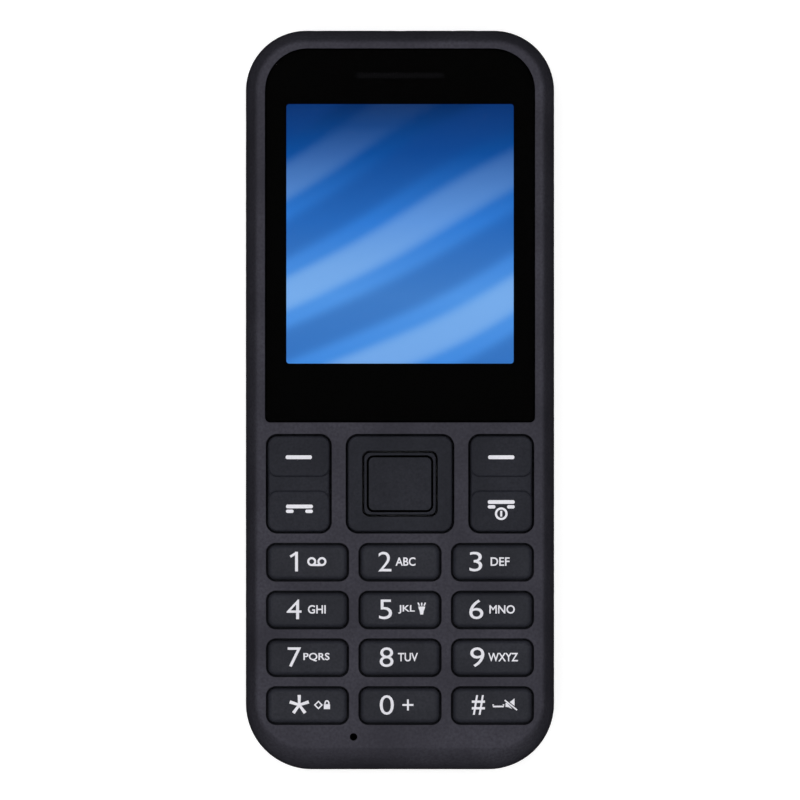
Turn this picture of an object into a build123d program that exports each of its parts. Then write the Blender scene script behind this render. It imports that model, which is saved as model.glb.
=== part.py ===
from build123d import *
import math
import os

# A bar mobile phone with a twelve-key number pad, lying on its back.
# X runs across the phone, Y towards its top edge, Z out of its face, and the
# origin is the middle of the back face. All lengths are in millimetres.

# Casing outline
WIDTH = 45.0
LENGTH = 107.8
WIDEST_Z = 6.0
PARTING_Z = 2.8
PARTING_GAP = 0.15
FRONT_ROLL_SIDE = 1.85
FRONT_ROLL_TOP = 2.0
FRONT_ROLL_BOTTOM = 3.4
REAR_ROLL = 3.2
TOP_CORNER_R = 8.8
BOTTOM_CORNER_R = 9.6
FRONT_EDGE_R = 0.5
REAR_EDGE_R = 1.2
SECTIONS_PER_ROLL = 4
WALL = 1.3
FRONT_PLATE = 1.4
OVERRUN = 0.6

# Thickness stack, from the back face to the front face
REAR_WALL = 1.2
BATTERY_FLOAT = 0.3
BATTERY_DEPTH = 3.9
BAY_ROOF_GAP = 0.1
BAY_ROOF = 1.0
BOARD_DEPTH = 0.8
SHIELD_HEIGHT = 1.1
DISPLAY_DEPTH = 2.1
DISPLAY_GASKET = 0.1
SHELF_DEPTH = 0.8
TAPE_DEPTH = 0.1
WINDOW_DEPTH = 1.0

# Display window, with its printed border, and the earpiece slot in it
WINDOW_WIDTH = 39.1
WINDOW_LENGTH = 54.2
WINDOW_TOP_MARGIN = 2.9
WINDOW_TOP_R = 6.1
WINDOW_BOTTOM_R = 0.7
WINDOW_GAP = 0.08
WINDOW_EDGE_R = 0.2
TAPE_WIDTH = 1.2
EARPIECE_SLOT_LENGTH = 13.1
EARPIECE_SLOT_WIDTH = 0.9
EARPIECE_SLOT_MARGIN = 3.85
EARPIECE_MESH_BORDER = 0.6
EARPIECE_PORT_BORDER = 0.3

# Display panel in its frame
ACTIVE_WIDTH = 33.0
ACTIVE_LENGTH = 37.7
ACTIVE_TOP_MARGIN = 8.0
PANEL_SIDE_BORDER = 1.1
PANEL_TOP_BORDER = 1.1
PANEL_FOOT_BORDER = 2.6
PANEL_DEPTH = 0.75
PANEL_GAP = 0.1
FRAME_WALL = 0.4
APERTURE_BORDER = 0.5
FLEX_WIDTH = 14.0
FLEX_THICKNESS = 0.15
FLEX_REACH = 1.1
FLEX_FOOT = 3.0
FLEX_BEND_R = 0.4

# Earpiece receiver
RECEIVER_WIDTH = 12.0
RECEIVER_LENGTH = 5.0
RECEIVER_DEPTH = 2.2
RECEIVER_CORNER_R = 1.2
RECEIVER_RIM = 0.6
RECEIVER_DISH = 0.3

# Number keys: three columns and four rows
KEY_HOLE_WIDTH = 12.1
KEY_HOLE_LENGTH = 5.65
KEY_HOLE_R = 1.45
KEY_PITCH_X = 13.43
KEY_PITCH_Y = 6.94
KEY_FOOT_MARGIN = 6.695
KEY_GAP = 0.3
KEY_PROUD = 0.35
KEY_EDGE_R = 0.7
KEY_FLANGE = 0.4
KEY_FLANGE_DEPTH = 0.6
KEY_FLANGE_GAP = 0.3
KEY_NAMES = (
    ("key_1", "key_2", "key_3"),
    ("key_4", "key_5", "key_6"),
    ("key_7", "key_8", "key_9"),
    ("key_star", "key_0", "key_hash"),
)

# Function cluster: two rocker keys beside the navigation pad
CLUSTER_FOOT_SPACE = 1.325
CLUSTER_LENGTH = 14.5
CLUSTER_GAP = 0.32
CLUSTER_FLANGE = 0.4
CLUSTER_FLANGE_DEPTH = 0.6
CLUSTER_FLANGE_GAP = 0.75
ROCKER_WIDTH = 9.6
ROCKER_SPACE = 2.0
ROCKER_HOLE_R = 1.7
ROCKER_VALLEY = 2.0
ROCKER_VALLEY_DROP = 0.4
ROCKER_EDGE_R = 0.35
ROCKER_DOME_INSET = 2.85
PAD_WIDTH = 15.8
PAD_HOLE_R = 1.8
PAD_PROUD = 0.25
PAD_EDGE_R = 0.3
PAD_BASE_DEPTH = 0.5
PAD_BASE_GAP = 0.4
PAD_DOME_SIDE_INSET = 1.4
PAD_DOME_END_INSET = 1.45
SELECT_WIDTH = 11.0
SELECT_LENGTH = 9.6
SELECT_R = 1.1
SELECT_GAP = 0.3
SELECT_RIM = 0.35
SELECT_GROOVE = 0.34
SELECT_GROOVE_DEPTH = 0.3
SELECT_FACE_R = 0.7
SELECT_EDGE_R = 0.12

# Silicone key mat and the sheet of snap domes
MAT_THICKNESS = 0.35
MAT_BORDER = 0.4
MAT_CORNER_R = 2.0
PLUNGER_R = 1.1
PLUNGER_HEIGHT = 0.7
PLUNGER_GAP = 0.05
DOME_R = 2.0
DOME_HEIGHT = 0.25
DOME_FILM = 0.1
DOME_FILM_BORDER = 0.3

# Main board and its screening cans
BOARD_GAP = 0.4
SHIELD_WIDTH = 30.0
SHIELD_SHEET = 0.2
SHIELD_SPACING = 1.5
SHIELD_FOOT_INSET = 2.3
BASEBAND_LENGTH = 15.5
RADIO_LENGTH = 13.0
SHIELD_CORNER_R = 0.6

# Battery and its spring contacts
BATTERY_WIDTH = 31.0
BATTERY_LENGTH = 50.0
BATTERY_FOOT_MARGIN = 27.4
BATTERY_EDGE_R = 0.6
BATTERY_CORNER_R = 1.5
BAY_GAP = 0.25
CONTACT_WIDTH = 8.0
CONTACT_LENGTH = 3.0
CONTACT_HEIGHT = 3.0
CONTACT_COUNT = 3
CONTACT_PITCH = 2.2
BLADE_WIDTH = 1.0
BLADE_HEIGHT = 1.6
BLADE_R = 0.5
CONTACT_GAP = 0.2

# Card holders in windows of the bay roof
SIM_WIDTH = 17.0
SIM_LENGTH = 24.0
SIM_TOP_SHARE = 0.25
CARD_WIDTH = 13.0
CARD_LENGTH = 14.0
CARD_FOOT_SHARE = 0.375
HOLDER_SIDE_INSET = 2.0
HOLDER_SHEET = 0.2
HOLDER_RIM = 0.8
HOLDER_GAP = 0.3
HOLDER_CORNER_R = 0.8
HOLDER_MOUTH_SHARE = 0.7

# Chassis that carries the board and forms the battery bay
LIP_THICKNESS = 0.6
LIP_GAP = 0.1
LIP_HEIGHT = 0.9
CLIP_HEIGHT = 1.8
CLIP_LENGTH = 6.0
CLIP_END_MARGIN = 23.9
CHASSIS_GAP = 0.15
CHASSIS_WALL = 0.9
CHASSIS_SKIN = 1.2
BAY_WALL = 1.0
SIDE_POCKET_WIDTH = 2.0
SIDE_POCKET_WALL = 0.9
ANTENNA_THICKNESS = 0.12
ANTENNA_WIDTH = 9.0
ANTENNA_LENGTH = 17.0
ANTENNA_SIDE_MARGIN = 4.05
ANTENNA_TOP_MARGIN = 17.9
ANTENNA_SLOT = 1.0
ANTENNA_SLOTS = 3
ANTENNA_BRIDGE = 1.2

# Screws and the bosses that take them
SCREW_R = 0.7
SCREW_LENGTH = 4.5
SCREW_HEAD_R = 1.1
SCREW_HEAD_HEIGHT = 0.8
SCREW_SEAT_Z = 4.6
SCREW_GAP = 0.06
SCREW_SOCKET_R = 0.5
SCREW_SOCKET_DEPTH = 0.4
SCREW_TIP_GAP = 0.4
BOSS_R = 1.5
BOSS_HOLE_GAP = 0.2
TOP_SCREW_SIDE_MARGIN = 6.5
TOP_SCREW_END_MARGIN = 6.3
MIDDLE_SCREW_SIDE_MARGIN = 4.6
MIDDLE_SCREW_INSET = 2.2
FOOT_SCREW_SIDE_MARGIN = 10.0
FOOT_SCREW_END_MARGIN = 4.5

# Camera and its window
CAMERA_SIDE = 6.5
CAMERA_BAY_SPACE = 11.25
CAMERA_BASE = 2.7
CAMERA_BARREL_R = 2.3
CAMERA_LENS_R = 1.2
CAMERA_PUPIL_R = 0.6
CAMERA_LENS_DEPTH = 0.6
CAMERA_CLEARANCE = 0.25
CAMERA_WINDOW_R = 3.4
CAMERA_WINDOW_DEPTH = 0.7
CAMERA_WINDOW_RECESS = 0.12
CAMERA_WINDOW_GAP = 0.06
CAMERA_SIGHT_R = 2.5

# Loudspeaker behind its grille, and the vibration motor
SPEAKER_WIDTH = 15.0
SPEAKER_LENGTH = 11.0
SPEAKER_DEPTH = 3.0
SPEAKER_SIDE_MARGIN = 13.5
SPEAKER_FOOT_MARGIN = 14.4
SPEAKER_CORNER_R = 2.5
SPEAKER_RIM = 1.0
SPEAKER_DISH = 0.4
GRILLE_SLOTS = 5
GRILLE_SLOT_LENGTH = 8.0
GRILLE_SLOT_WIDTH = 0.9
GRILLE_PITCH = 1.9
SOUND_PORT_BORDER = 0.6
MOTOR_R = 4.0
MOTOR_DEPTH = 2.7
MOTOR_SIDE_MARGIN = 12.0
MOTOR_FOOT_MARGIN = 13.9
MOTOR_EDGE_R = 0.3

# Sockets on the edges, the torch and the microphone
USB_WIDTH = 7.5
USB_HEIGHT = 2.5
USB_LENGTH = 5.5
USB_SHEET = 0.3
USB_CORNER_R = 0.9
USB_RECESS = 0.6
USB_GAP = 0.2
USB_BACK = 0.8
USB_TONGUE_WIDTH = 4.2
USB_TONGUE_HEIGHT = 0.6
USB_TONGUE_BACKSET = 0.5
JACK_SCREW_SPACE = 6.4
JACK_BORE_R = 1.8
JACK_BORE_LENGTH = 14.0
JACK_BODY_WIDTH = 6.0
JACK_BODY_HEIGHT = 4.8
JACK_BACK = 0.8
JACK_NOSE_R = 2.2
JACK_NOSE_LENGTH = 2.4
JACK_RECESS = 0.05
JACK_GAP = 0.15
JACK_TOP_GAP = 0.2
TORCH_LENS_R = 1.5
TORCH_LENS_GAP = 0.06
TORCH_LENS_RECESS = 0.1
TORCH_FLANGE = 0.5
TORCH_FLANGE_DEPTH = 0.4
TORCH_LED_WIDTH = 2.8
TORCH_LED_LENGTH = 1.2
TORCH_LED_HEIGHT = 1.8
TORCH_LED_DOME_R = 0.7
TORCH_LED_GAP = 0.1
MIC_SCREW_SPACE = 5.75
MIC_MARGIN = 4.95
MIC_HOLE_R = 0.55
MIC_BOOT_R = 1.2
MIC_WIDTH = 2.8
MIC_LENGTH = 2.2
MIC_HEIGHT = 1.1
PRY_NOTCH_WIDTH = 9.0
PRY_NOTCH_DEPTH = 0.7
PRY_NOTCH_HEIGHT = 0.9

# Heights that follow from the stack
BATTERY_LOW_Z = REAR_WALL + BATTERY_FLOAT
BATTERY_HIGH_Z = BATTERY_LOW_Z + BATTERY_DEPTH
BAY_ROOF_Z = BATTERY_HIGH_Z + BAY_ROOF_GAP
BOARD_LOW_Z = BAY_ROOF_Z + BAY_ROOF
BOARD_HIGH_Z = BOARD_LOW_Z + BOARD_DEPTH
DISPLAY_LOW_Z = BOARD_HIGH_Z + SHIELD_HEIGHT
DISPLAY_HIGH_Z = DISPLAY_LOW_Z + DISPLAY_DEPTH
SHELF_LOW_Z = DISPLAY_HIGH_Z + DISPLAY_GASKET
TAPE_LOW_Z = SHELF_LOW_Z + SHELF_DEPTH
WINDOW_LOW_Z = TAPE_LOW_Z + TAPE_DEPTH
DEPTH = WINDOW_LOW_Z + WINDOW_DEPTH
PLATE_LOW_Z = DEPTH - FRONT_PLATE
CHASSIS_LOW_Z = BATTERY_LOW_Z
POCKET_LOW_Z = CHASSIS_LOW_Z + CHASSIS_SKIN
DOME_HIGH_Z = BOARD_HIGH_Z + DOME_FILM + DOME_HEIGHT
MAT_LOW_Z = DOME_HIGH_Z + PLUNGER_GAP + PLUNGER_HEIGHT
MAT_HIGH_Z = MAT_LOW_Z + MAT_THICKNESS
KEY_HIGH_Z = DEPTH + KEY_PROUD
PAD_HIGH_Z = DEPTH + PAD_PROUD

# Places that follow from the outline
WINDOW_HIGH_Y = LENGTH / 2 - WINDOW_TOP_MARGIN
WINDOW_LOW_Y = WINDOW_HIGH_Y - WINDOW_LENGTH
EARPIECE_Y = WINDOW_HIGH_Y - EARPIECE_SLOT_MARGIN
LOW_ROW_Y = -LENGTH / 2 + KEY_FOOT_MARGIN + KEY_HOLE_LENGTH / 2
KEY_ROWS_Y = LOW_ROW_Y + (len(KEY_NAMES) - 1) * KEY_PITCH_Y
CLUSTER_Y = KEY_ROWS_Y + KEY_HOLE_LENGTH / 2 + CLUSTER_FOOT_SPACE + CLUSTER_LENGTH / 2
ROCKER_X = PAD_WIDTH / 2 + ROCKER_SPACE + ROCKER_WIDTH / 2
ROCKER_DOME_Y = CLUSTER_LENGTH / 2 - ROCKER_DOME_INSET
PAD_DOME_X = PAD_WIDTH / 2 - PAD_DOME_SIDE_INSET
PAD_DOME_Y = CLUSTER_LENGTH / 2 - PAD_DOME_END_INSET
ACTIVE_HIGH_Y = WINDOW_HIGH_Y - ACTIVE_TOP_MARGIN
ACTIVE_LOW_Y = ACTIVE_HIGH_Y - ACTIVE_LENGTH
PANEL_HIGH_Y = ACTIVE_HIGH_Y + PANEL_TOP_BORDER
PANEL_LOW_Y = ACTIVE_LOW_Y - PANEL_FOOT_BORDER
PANEL_WIDTH = ACTIVE_WIDTH + 2 * PANEL_SIDE_BORDER
SHIELD_FOOT_Y = PANEL_LOW_Y + SHIELD_FOOT_INSET
RIM_INSET = WALL + LIP_GAP + LIP_THICKNESS
CHASSIS_INSET = RIM_INSET + CHASSIS_GAP
CLIP_PLACES_Y = (CLIP_END_MARGIN - LENGTH / 2, 0, LENGTH / 2 - CLIP_END_MARGIN)
BATTERY_LOW_Y = -LENGTH / 2 + BATTERY_FOOT_MARGIN
BATTERY_HIGH_Y = BATTERY_LOW_Y + BATTERY_LENGTH
BATTERY_Y = (BATTERY_LOW_Y + BATTERY_HIGH_Y) / 2
BAY_LOW_Y = BATTERY_LOW_Y - BAY_GAP
BAY_HIGH_Y = BATTERY_HIGH_Y + BAY_GAP
BAY_WIDTH = BATTERY_WIDTH + 2 * BAY_GAP
HOLDER_ROOM = BATTERY_LENGTH - SIM_LENGTH - CARD_LENGTH
SIM_X = -BATTERY_WIDTH / 2 + HOLDER_SIDE_INSET + SIM_WIDTH / 2
SIM_Y = BATTERY_HIGH_Y - HOLDER_ROOM * SIM_TOP_SHARE - SIM_LENGTH / 2
CARD_X = BATTERY_WIDTH / 2 - HOLDER_SIDE_INSET - CARD_WIDTH / 2
CARD_Y = BATTERY_LOW_Y + HOLDER_ROOM * CARD_FOOT_SHARE + CARD_LENGTH / 2
TOP_SCREW = (WIDTH / 2 - TOP_SCREW_SIDE_MARGIN, LENGTH / 2 - TOP_SCREW_END_MARGIN)
MIDDLE_SCREW = (WIDTH / 2 - MIDDLE_SCREW_SIDE_MARGIN, WINDOW_LOW_Y + MIDDLE_SCREW_INSET)
FOOT_SCREW = (WIDTH / 2 - FOOT_SCREW_SIDE_MARGIN, FOOT_SCREW_END_MARGIN - LENGTH / 2)
CAMERA_Y = BAY_HIGH_Y + BAY_WALL + CAMERA_BAY_SPACE
CAMERA_HOLE_R = CAMERA_BARREL_R + CAMERA_CLEARANCE
ANTENNA_X = -(CAMERA_HOLE_R + WIDTH / 2 - ANTENNA_SIDE_MARGIN) / 2
ANTENNA_Y = LENGTH / 2 - ANTENNA_TOP_MARGIN
SPEAKER_X = -WIDTH / 2 + SPEAKER_SIDE_MARGIN
SPEAKER_Y = -LENGTH / 2 + SPEAKER_FOOT_MARGIN
MOTOR_X = WIDTH / 2 - MOTOR_SIDE_MARGIN
MOTOR_Y = -LENGTH / 2 + MOTOR_FOOT_MARGIN
JACK_X = TOP_SCREW[0] - JACK_SCREW_SPACE
JACK_Z = DISPLAY_LOW_Z - JACK_TOP_GAP - JACK_BODY_HEIGHT / 2
JACK_MOUTH_Y = LENGTH / 2 - JACK_RECESS
USB_MOUTH_Y = -LENGTH / 2 + USB_RECESS
USB_Z = BOARD_LOW_Z - USB_HEIGHT / 2
TORCH_Z = BOARD_LOW_Z - TORCH_LED_HEIGHT / 2
MIC_X = MIC_SCREW_SPACE - FOOT_SCREW[0]
MIC_Y = -LENGTH / 2 + MIC_MARGIN
SCREW_PLACES = [(side * x, y) for x, y in (TOP_SCREW, MIDDLE_SCREW, FOOT_SCREW) for side in (-1, 1)]


def roll(z, front_roll):
    """How far the skin at height z lies inside its widest line, on one arc each way from it."""
    reach, width = (DEPTH - WIDEST_Z, front_roll) if z > WIDEST_Z else (WIDEST_Z, REAR_ROLL)
    radius = (width**2 + reach**2) / (2 * width)
    return radius - math.sqrt(radius**2 - (z - WIDEST_Z) ** 2)


def rounded_outline(half_width, low, high, low_r, high_r):
    """A face with straight sides, one radius at its two low corners and another at its two high ones."""
    return Face(
        Wire(
            [
                Line((half_width, low + low_r), (half_width, high - high_r)),
                CenterArc((half_width - high_r, high - high_r), high_r, 0, 90),
                Line((half_width - high_r, high), (high_r - half_width, high)),
                CenterArc((high_r - half_width, high - high_r), high_r, 90, 90),
                Line((-half_width, high - high_r), (-half_width, low + low_r)),
                CenterArc((low_r - half_width, low + low_r), low_r, 180, 90),
                Line((low_r - half_width, low), (half_width - low_r, low)),
                CenterArc((half_width - low_r, low + low_r), low_r, 270, 90),
            ]
        )
    )


def skin_outline(z, inset):
    """The casing's outline at height z, drawn in by inset and laid flat."""
    side, top, bottom = (roll(z, r) for r in (FRONT_ROLL_SIDE, FRONT_ROLL_TOP, FRONT_ROLL_BOTTOM))
    return rounded_outline(
        WIDTH / 2 - side - inset,
        -LENGTH / 2 + bottom + inset,
        LENGTH / 2 - top - inset,
        BOTTOM_CORNER_R - (side + bottom) / 2 - inset,
        TOP_CORNER_R - (side + top) / 2 - inset,
    )


def skin(low_z, high_z, inset):
    """The casing's rolled form between two heights, drawn in by inset."""
    levels = []
    for start, end in ((low_z, min(WIDEST_Z, high_z)), (max(WIDEST_Z, low_z), high_z)):
        if end > start:
            levels += [start + (end - start) * i / SECTIONS_PER_ROLL for i in range(SECTIONS_PER_ROLL + 1)]
    return loft([Pos(0, 0, z) * skin_outline(z, inset) for z in sorted(set(levels))])


def prism(face, low_z, high_z):
    return Pos(0, 0, low_z) * extrude(face, high_z - low_z)


def block(width, length, low_z, high_z, x=0, y=0, corner_r=0):
    """An upright block, with its upright corners rounded where corner_r is given."""
    face = RectangleRounded(width, length, corner_r) if corner_r else Rectangle(width, length)
    return Pos(x, y, 0) * prism(face, low_z, high_z)


def post(radius, low_z, high_z, x=0, y=0):
    return Pos(x, y, 0) * prism(Circle(radius), low_z, high_z)


def rod(radius, low_y, high_y, x, z):
    """A cylinder along Y."""
    return Pos(x, low_y, z) * Rot(-90, 0, 0) * extrude(Circle(radius), high_y - low_y)


def band(low_y, high_y):
    """Everything between two places along the phone, to cut a form with."""
    return Pos(0, (low_y + high_y) / 2, DEPTH / 2) * Box(2 * WIDTH, high_y - low_y, 2 * DEPTH)


def edges_at(solid, z):
    return solid.edges().filter_by_position(Axis.Z, z, z)


def key_places():
    """Each number key's name and place."""
    for row, names in enumerate(KEY_NAMES):
        for column, name in enumerate(names):
            yield name, (column - 1) * KEY_PITCH_X, KEY_ROWS_Y - row * KEY_PITCH_Y


def dome_places():
    """The place of every snap dome: number keys, rocker ends, and the pad's sides and middle."""
    places = [(x, y) for _, x, y in key_places()]
    for side in (-1, 1):
        places += [(side * ROCKER_X, CLUSTER_Y + end * ROCKER_DOME_Y) for end in (-1, 1)]
        places += [(side * PAD_DOME_X, CLUSTER_Y), (0, CLUSTER_Y + side * PAD_DOME_Y)]
    return places + [(0, CLUSTER_Y)]


def window_outline(grow):
    """The display window's outline, square at its foot and round at its head, grown by grow."""
    return rounded_outline(
        WINDOW_WIDTH / 2 + grow,
        WINDOW_LOW_Y - grow,
        WINDOW_HIGH_Y + grow,
        WINDOW_BOTTOM_R + grow,
        WINDOW_TOP_R + grow,
    )


def key_holes():
    """The openings in the front plate for every key."""
    low_z, high_z = SHELF_LOW_Z - OVERRUN, DEPTH + OVERRUN
    holes = [
        block(KEY_HOLE_WIDTH, KEY_HOLE_LENGTH, low_z, high_z, x, y, KEY_HOLE_R) for _, x, y in key_places()
    ]
    for side in (-1, 1):
        holes.append(
            block(ROCKER_WIDTH, CLUSTER_LENGTH, low_z, high_z, side * ROCKER_X, CLUSTER_Y, ROCKER_HOLE_R)
        )
    holes.append(block(PAD_WIDTH, CLUSTER_LENGTH, low_z, high_z, 0, CLUSTER_Y, PAD_HOLE_R))
    return holes


def usb_outline(grow):
    """The socket's mouth, standing in the XZ plane."""
    outline = RectangleRounded(USB_WIDTH + 2 * grow, USB_HEIGHT + 2 * grow, USB_CORNER_R + grow)
    return Rot(90, 0, 0) * outline


def front_cover():
    """Front shell: rolled sides, a plate with the key openings, and a shelf for the display window."""
    outer = skin(PARTING_Z, DEPTH, 0)
    outer = fillet(edges_at(outer, DEPTH), FRONT_EDGE_R)
    shelf_y = WINDOW_LOW_Y - WALL
    inside = skin(PARTING_Z - OVERRUN, PLATE_LOW_Z, WALL)
    shelf = block(WIDTH, LENGTH, SHELF_LOW_Z, DEPTH, y=shelf_y + LENGTH / 2)
    cover = outer - (inside - shelf)
    for x, y in SCREW_PLACES:
        top_z = (SHELF_LOW_Z if y > shelf_y else PLATE_LOW_Z) + SHELF_DEPTH / 2
        cover += post(BOSS_R, BOARD_LOW_Z, top_z, x, y)
    pilot_z = SCREW_SEAT_Z + SCREW_LENGTH + SCREW_TIP_GAP
    cuts = [post(SCREW_R + SCREW_GAP, BOARD_LOW_Z - OVERRUN, pilot_z, x, y) for x, y in SCREW_PLACES]
    cuts.append(prism(window_outline(WINDOW_GAP), TAPE_LOW_Z, DEPTH + OVERRUN))
    cuts.append(
        block(
            ACTIVE_WIDTH + 2 * APERTURE_BORDER,
            ACTIVE_LENGTH + 2 * APERTURE_BORDER,
            SHELF_LOW_Z - OVERRUN,
            DEPTH,
            y=(ACTIVE_LOW_Y + ACTIVE_HIGH_Y) / 2,
        )
    )
    cuts.append(
        block(
            EARPIECE_SLOT_LENGTH - 2 * EARPIECE_PORT_BORDER,
            EARPIECE_SLOT_WIDTH + 2 * EARPIECE_PORT_BORDER,
            SHELF_LOW_Z - OVERRUN,
            DEPTH,
            y=EARPIECE_Y,
            corner_r=EARPIECE_SLOT_WIDTH / 2,
        )
    )
    cuts += key_holes()
    cuts.append(post(MIC_HOLE_R, PLATE_LOW_Z - OVERRUN, DEPTH + OVERRUN, MIC_X, MIC_Y))
    wall_reach = WALL + OVERRUN
    usb_hole = extrude(usb_outline(USB_GAP), wall_reach, both=True)
    cuts.append(Pos(0, -LENGTH / 2, USB_Z) * usb_hole)
    cuts.append(
        rod(JACK_NOSE_R + JACK_GAP, LENGTH / 2 - wall_reach, LENGTH / 2 + OVERRUN, JACK_X, JACK_Z)
    )
    cuts.append(
        rod(TORCH_LENS_R + TORCH_LENS_GAP, LENGTH / 2 - wall_reach, LENGTH / 2 + OVERRUN, 0, TORCH_Z)
    )
    return cover - cuts


def display_window():
    """Clear window with the earpiece slot through it."""
    window = prism(window_outline(0), WINDOW_LOW_Z, DEPTH)
    window = fillet(edges_at(window, DEPTH), WINDOW_EDGE_R)
    slot = SlotOverall(EARPIECE_SLOT_LENGTH, EARPIECE_SLOT_WIDTH)
    return window - Pos(0, EARPIECE_Y, 0) * prism(slot, WINDOW_LOW_Z - OVERRUN, DEPTH + OVERRUN)


def earpiece_mesh_outline(grow):
    border = EARPIECE_MESH_BORDER + grow
    return Pos(0, EARPIECE_Y, 0) * SlotOverall(
        EARPIECE_SLOT_LENGTH + 2 * border, EARPIECE_SLOT_WIDTH + 2 * border
    )


def window_tape():
    """Adhesive frame between the window and its shelf."""
    sheet = prism(window_outline(0), TAPE_LOW_Z, WINDOW_LOW_Z)
    low_y = WINDOW_LOW_Y + TAPE_WIDTH
    high_y = EARPIECE_Y - EARPIECE_SLOT_WIDTH / 2 - EARPIECE_MESH_BORDER - TAPE_WIDTH
    hole = block(
        WINDOW_WIDTH - 2 * TAPE_WIDTH,
        high_y - low_y,
        TAPE_LOW_Z - OVERRUN,
        WINDOW_LOW_Z + OVERRUN,
        y=(low_y + high_y) / 2,
    )
    mesh_seat = prism(earpiece_mesh_outline(WINDOW_GAP), TAPE_LOW_Z - OVERRUN, WINDOW_LOW_Z + OVERRUN)
    return sheet - hole - mesh_seat


def earpiece_mesh():
    return prism(earpiece_mesh_outline(0), TAPE_LOW_Z, WINDOW_LOW_Z)


def earpiece_receiver():
    """Receiver capsule held against the underside of the shelf, with a dished diaphragm."""
    low_z = SHELF_LOW_Z - RECEIVER_DEPTH
    capsule = block(
        RECEIVER_WIDTH, RECEIVER_LENGTH, low_z, SHELF_LOW_Z, y=EARPIECE_Y, corner_r=RECEIVER_CORNER_R
    )
    dish = block(
        RECEIVER_WIDTH - 2 * RECEIVER_RIM,
        RECEIVER_LENGTH - 2 * RECEIVER_RIM,
        SHELF_LOW_Z - RECEIVER_DISH,
        SHELF_LOW_Z + OVERRUN,
        y=EARPIECE_Y,
        corner_r=RECEIVER_CORNER_R - RECEIVER_RIM,
    )
    return capsule - dish


def display_frame():
    """Moulded backlight tray that holds the panel."""
    border = 2 * (PANEL_GAP + FRAME_WALL)
    middle_y = (PANEL_LOW_Y + PANEL_HIGH_Y) / 2
    length = PANEL_HIGH_Y - PANEL_LOW_Y
    tray = block(PANEL_WIDTH + border, length + border, DISPLAY_LOW_Z, DISPLAY_HIGH_Z, y=middle_y)
    pocket = block(
        PANEL_WIDTH + 2 * PANEL_GAP,
        length + 2 * PANEL_GAP,
        DISPLAY_HIGH_Z - PANEL_DEPTH,
        DISPLAY_HIGH_Z + OVERRUN,
        y=middle_y,
    )
    return tray - pocket


def display_panel():
    return block(
        PANEL_WIDTH,
        PANEL_HIGH_Y - PANEL_LOW_Y,
        DISPLAY_HIGH_Z - PANEL_DEPTH,
        DISPLAY_HIGH_Z,
        y=(PANEL_LOW_Y + PANEL_HIGH_Y) / 2,
    )


def display_flex():
    """Ribbon from the foot of the display frame down to the board."""
    half = FLEX_THICKNESS / 2
    start_y = PANEL_LOW_Y - PANEL_GAP - FRAME_WALL
    high_z = (DISPLAY_LOW_Z + DISPLAY_HIGH_Z) / 2
    low_z = BOARD_HIGH_Z + half
    bend_y = start_y - FLEX_REACH
    path = FilletPolyline(
        (start_y, high_z), (bend_y, high_z), (bend_y, low_z), (bend_y - FLEX_FOOT, low_z), radius=FLEX_BEND_R
    )
    ribbon = extrude(trace(path, FLEX_THICKNESS), FLEX_WIDTH / 2, both=True)
    return Rot(90, 0, 0) * Rot(0, 90, 0) * ribbon


def cap(width, length, corner_r, low_z, high_z, edge_r):
    """A key cap's moulding: an upright block with its upper edge rounded."""
    body = block(width, length, low_z, high_z, corner_r=corner_r)
    return fillet(edges_at(body, high_z), edge_r)


def number_key(x, y):
    """Cap that fills its hole but for a gap, with a flange that keeps it under the plate."""
    width, length = KEY_HOLE_WIDTH - 2 * KEY_GAP, KEY_HOLE_LENGTH - 2 * KEY_GAP
    body = cap(width, length, KEY_HOLE_R - KEY_GAP, MAT_HIGH_Z, KEY_HIGH_Z, KEY_EDGE_R)
    flange_z = PLATE_LOW_Z - KEY_FLANGE_GAP
    flange = block(
        KEY_HOLE_WIDTH + 2 * KEY_FLANGE,
        KEY_HOLE_LENGTH + 2 * KEY_FLANGE,
        flange_z - KEY_FLANGE_DEPTH,
        flange_z,
        corner_r=KEY_HOLE_R + KEY_FLANGE,
    )
    return Pos(x, y, 0) * (body + flange)


def cluster_flange(width, corner_r):
    """The retaining flange of a key that tilts."""
    high_z = PLATE_LOW_Z - CLUSTER_FLANGE_GAP
    return block(
        width + 2 * CLUSTER_FLANGE,
        CLUSTER_LENGTH + 2 * CLUSTER_FLANGE,
        high_z - CLUSTER_FLANGE_DEPTH,
        high_z,
        corner_r=corner_r + CLUSTER_FLANGE,
    )


def rocker_key(side):
    """One moulding with two raised finger pads and a valley between them."""
    width, length = ROCKER_WIDTH - 2 * CLUSTER_GAP, CLUSTER_LENGTH - 2 * CLUSTER_GAP
    corner_r = ROCKER_HOLE_R - CLUSTER_GAP
    valley_z = KEY_HIGH_Z - ROCKER_VALLEY_DROP
    body = cap(width, length, corner_r, MAT_HIGH_Z, valley_z, ROCKER_EDGE_R)
    pad_length = (length - ROCKER_VALLEY) / 2
    finger_pad = cap(width, pad_length, corner_r, MAT_HIGH_Z, KEY_HIGH_Z, ROCKER_EDGE_R)
    for end in (-1, 1):
        body += Pos(0, end * (length - pad_length) / 2, 0) * finger_pad
    return Pos(side * ROCKER_X, CLUSTER_Y, 0) * (body + cluster_flange(ROCKER_WIDTH, ROCKER_HOLE_R))


def select_opening(low_z, high_z):
    return block(SELECT_WIDTH, SELECT_LENGTH, low_z, high_z, corner_r=SELECT_R)


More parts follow.
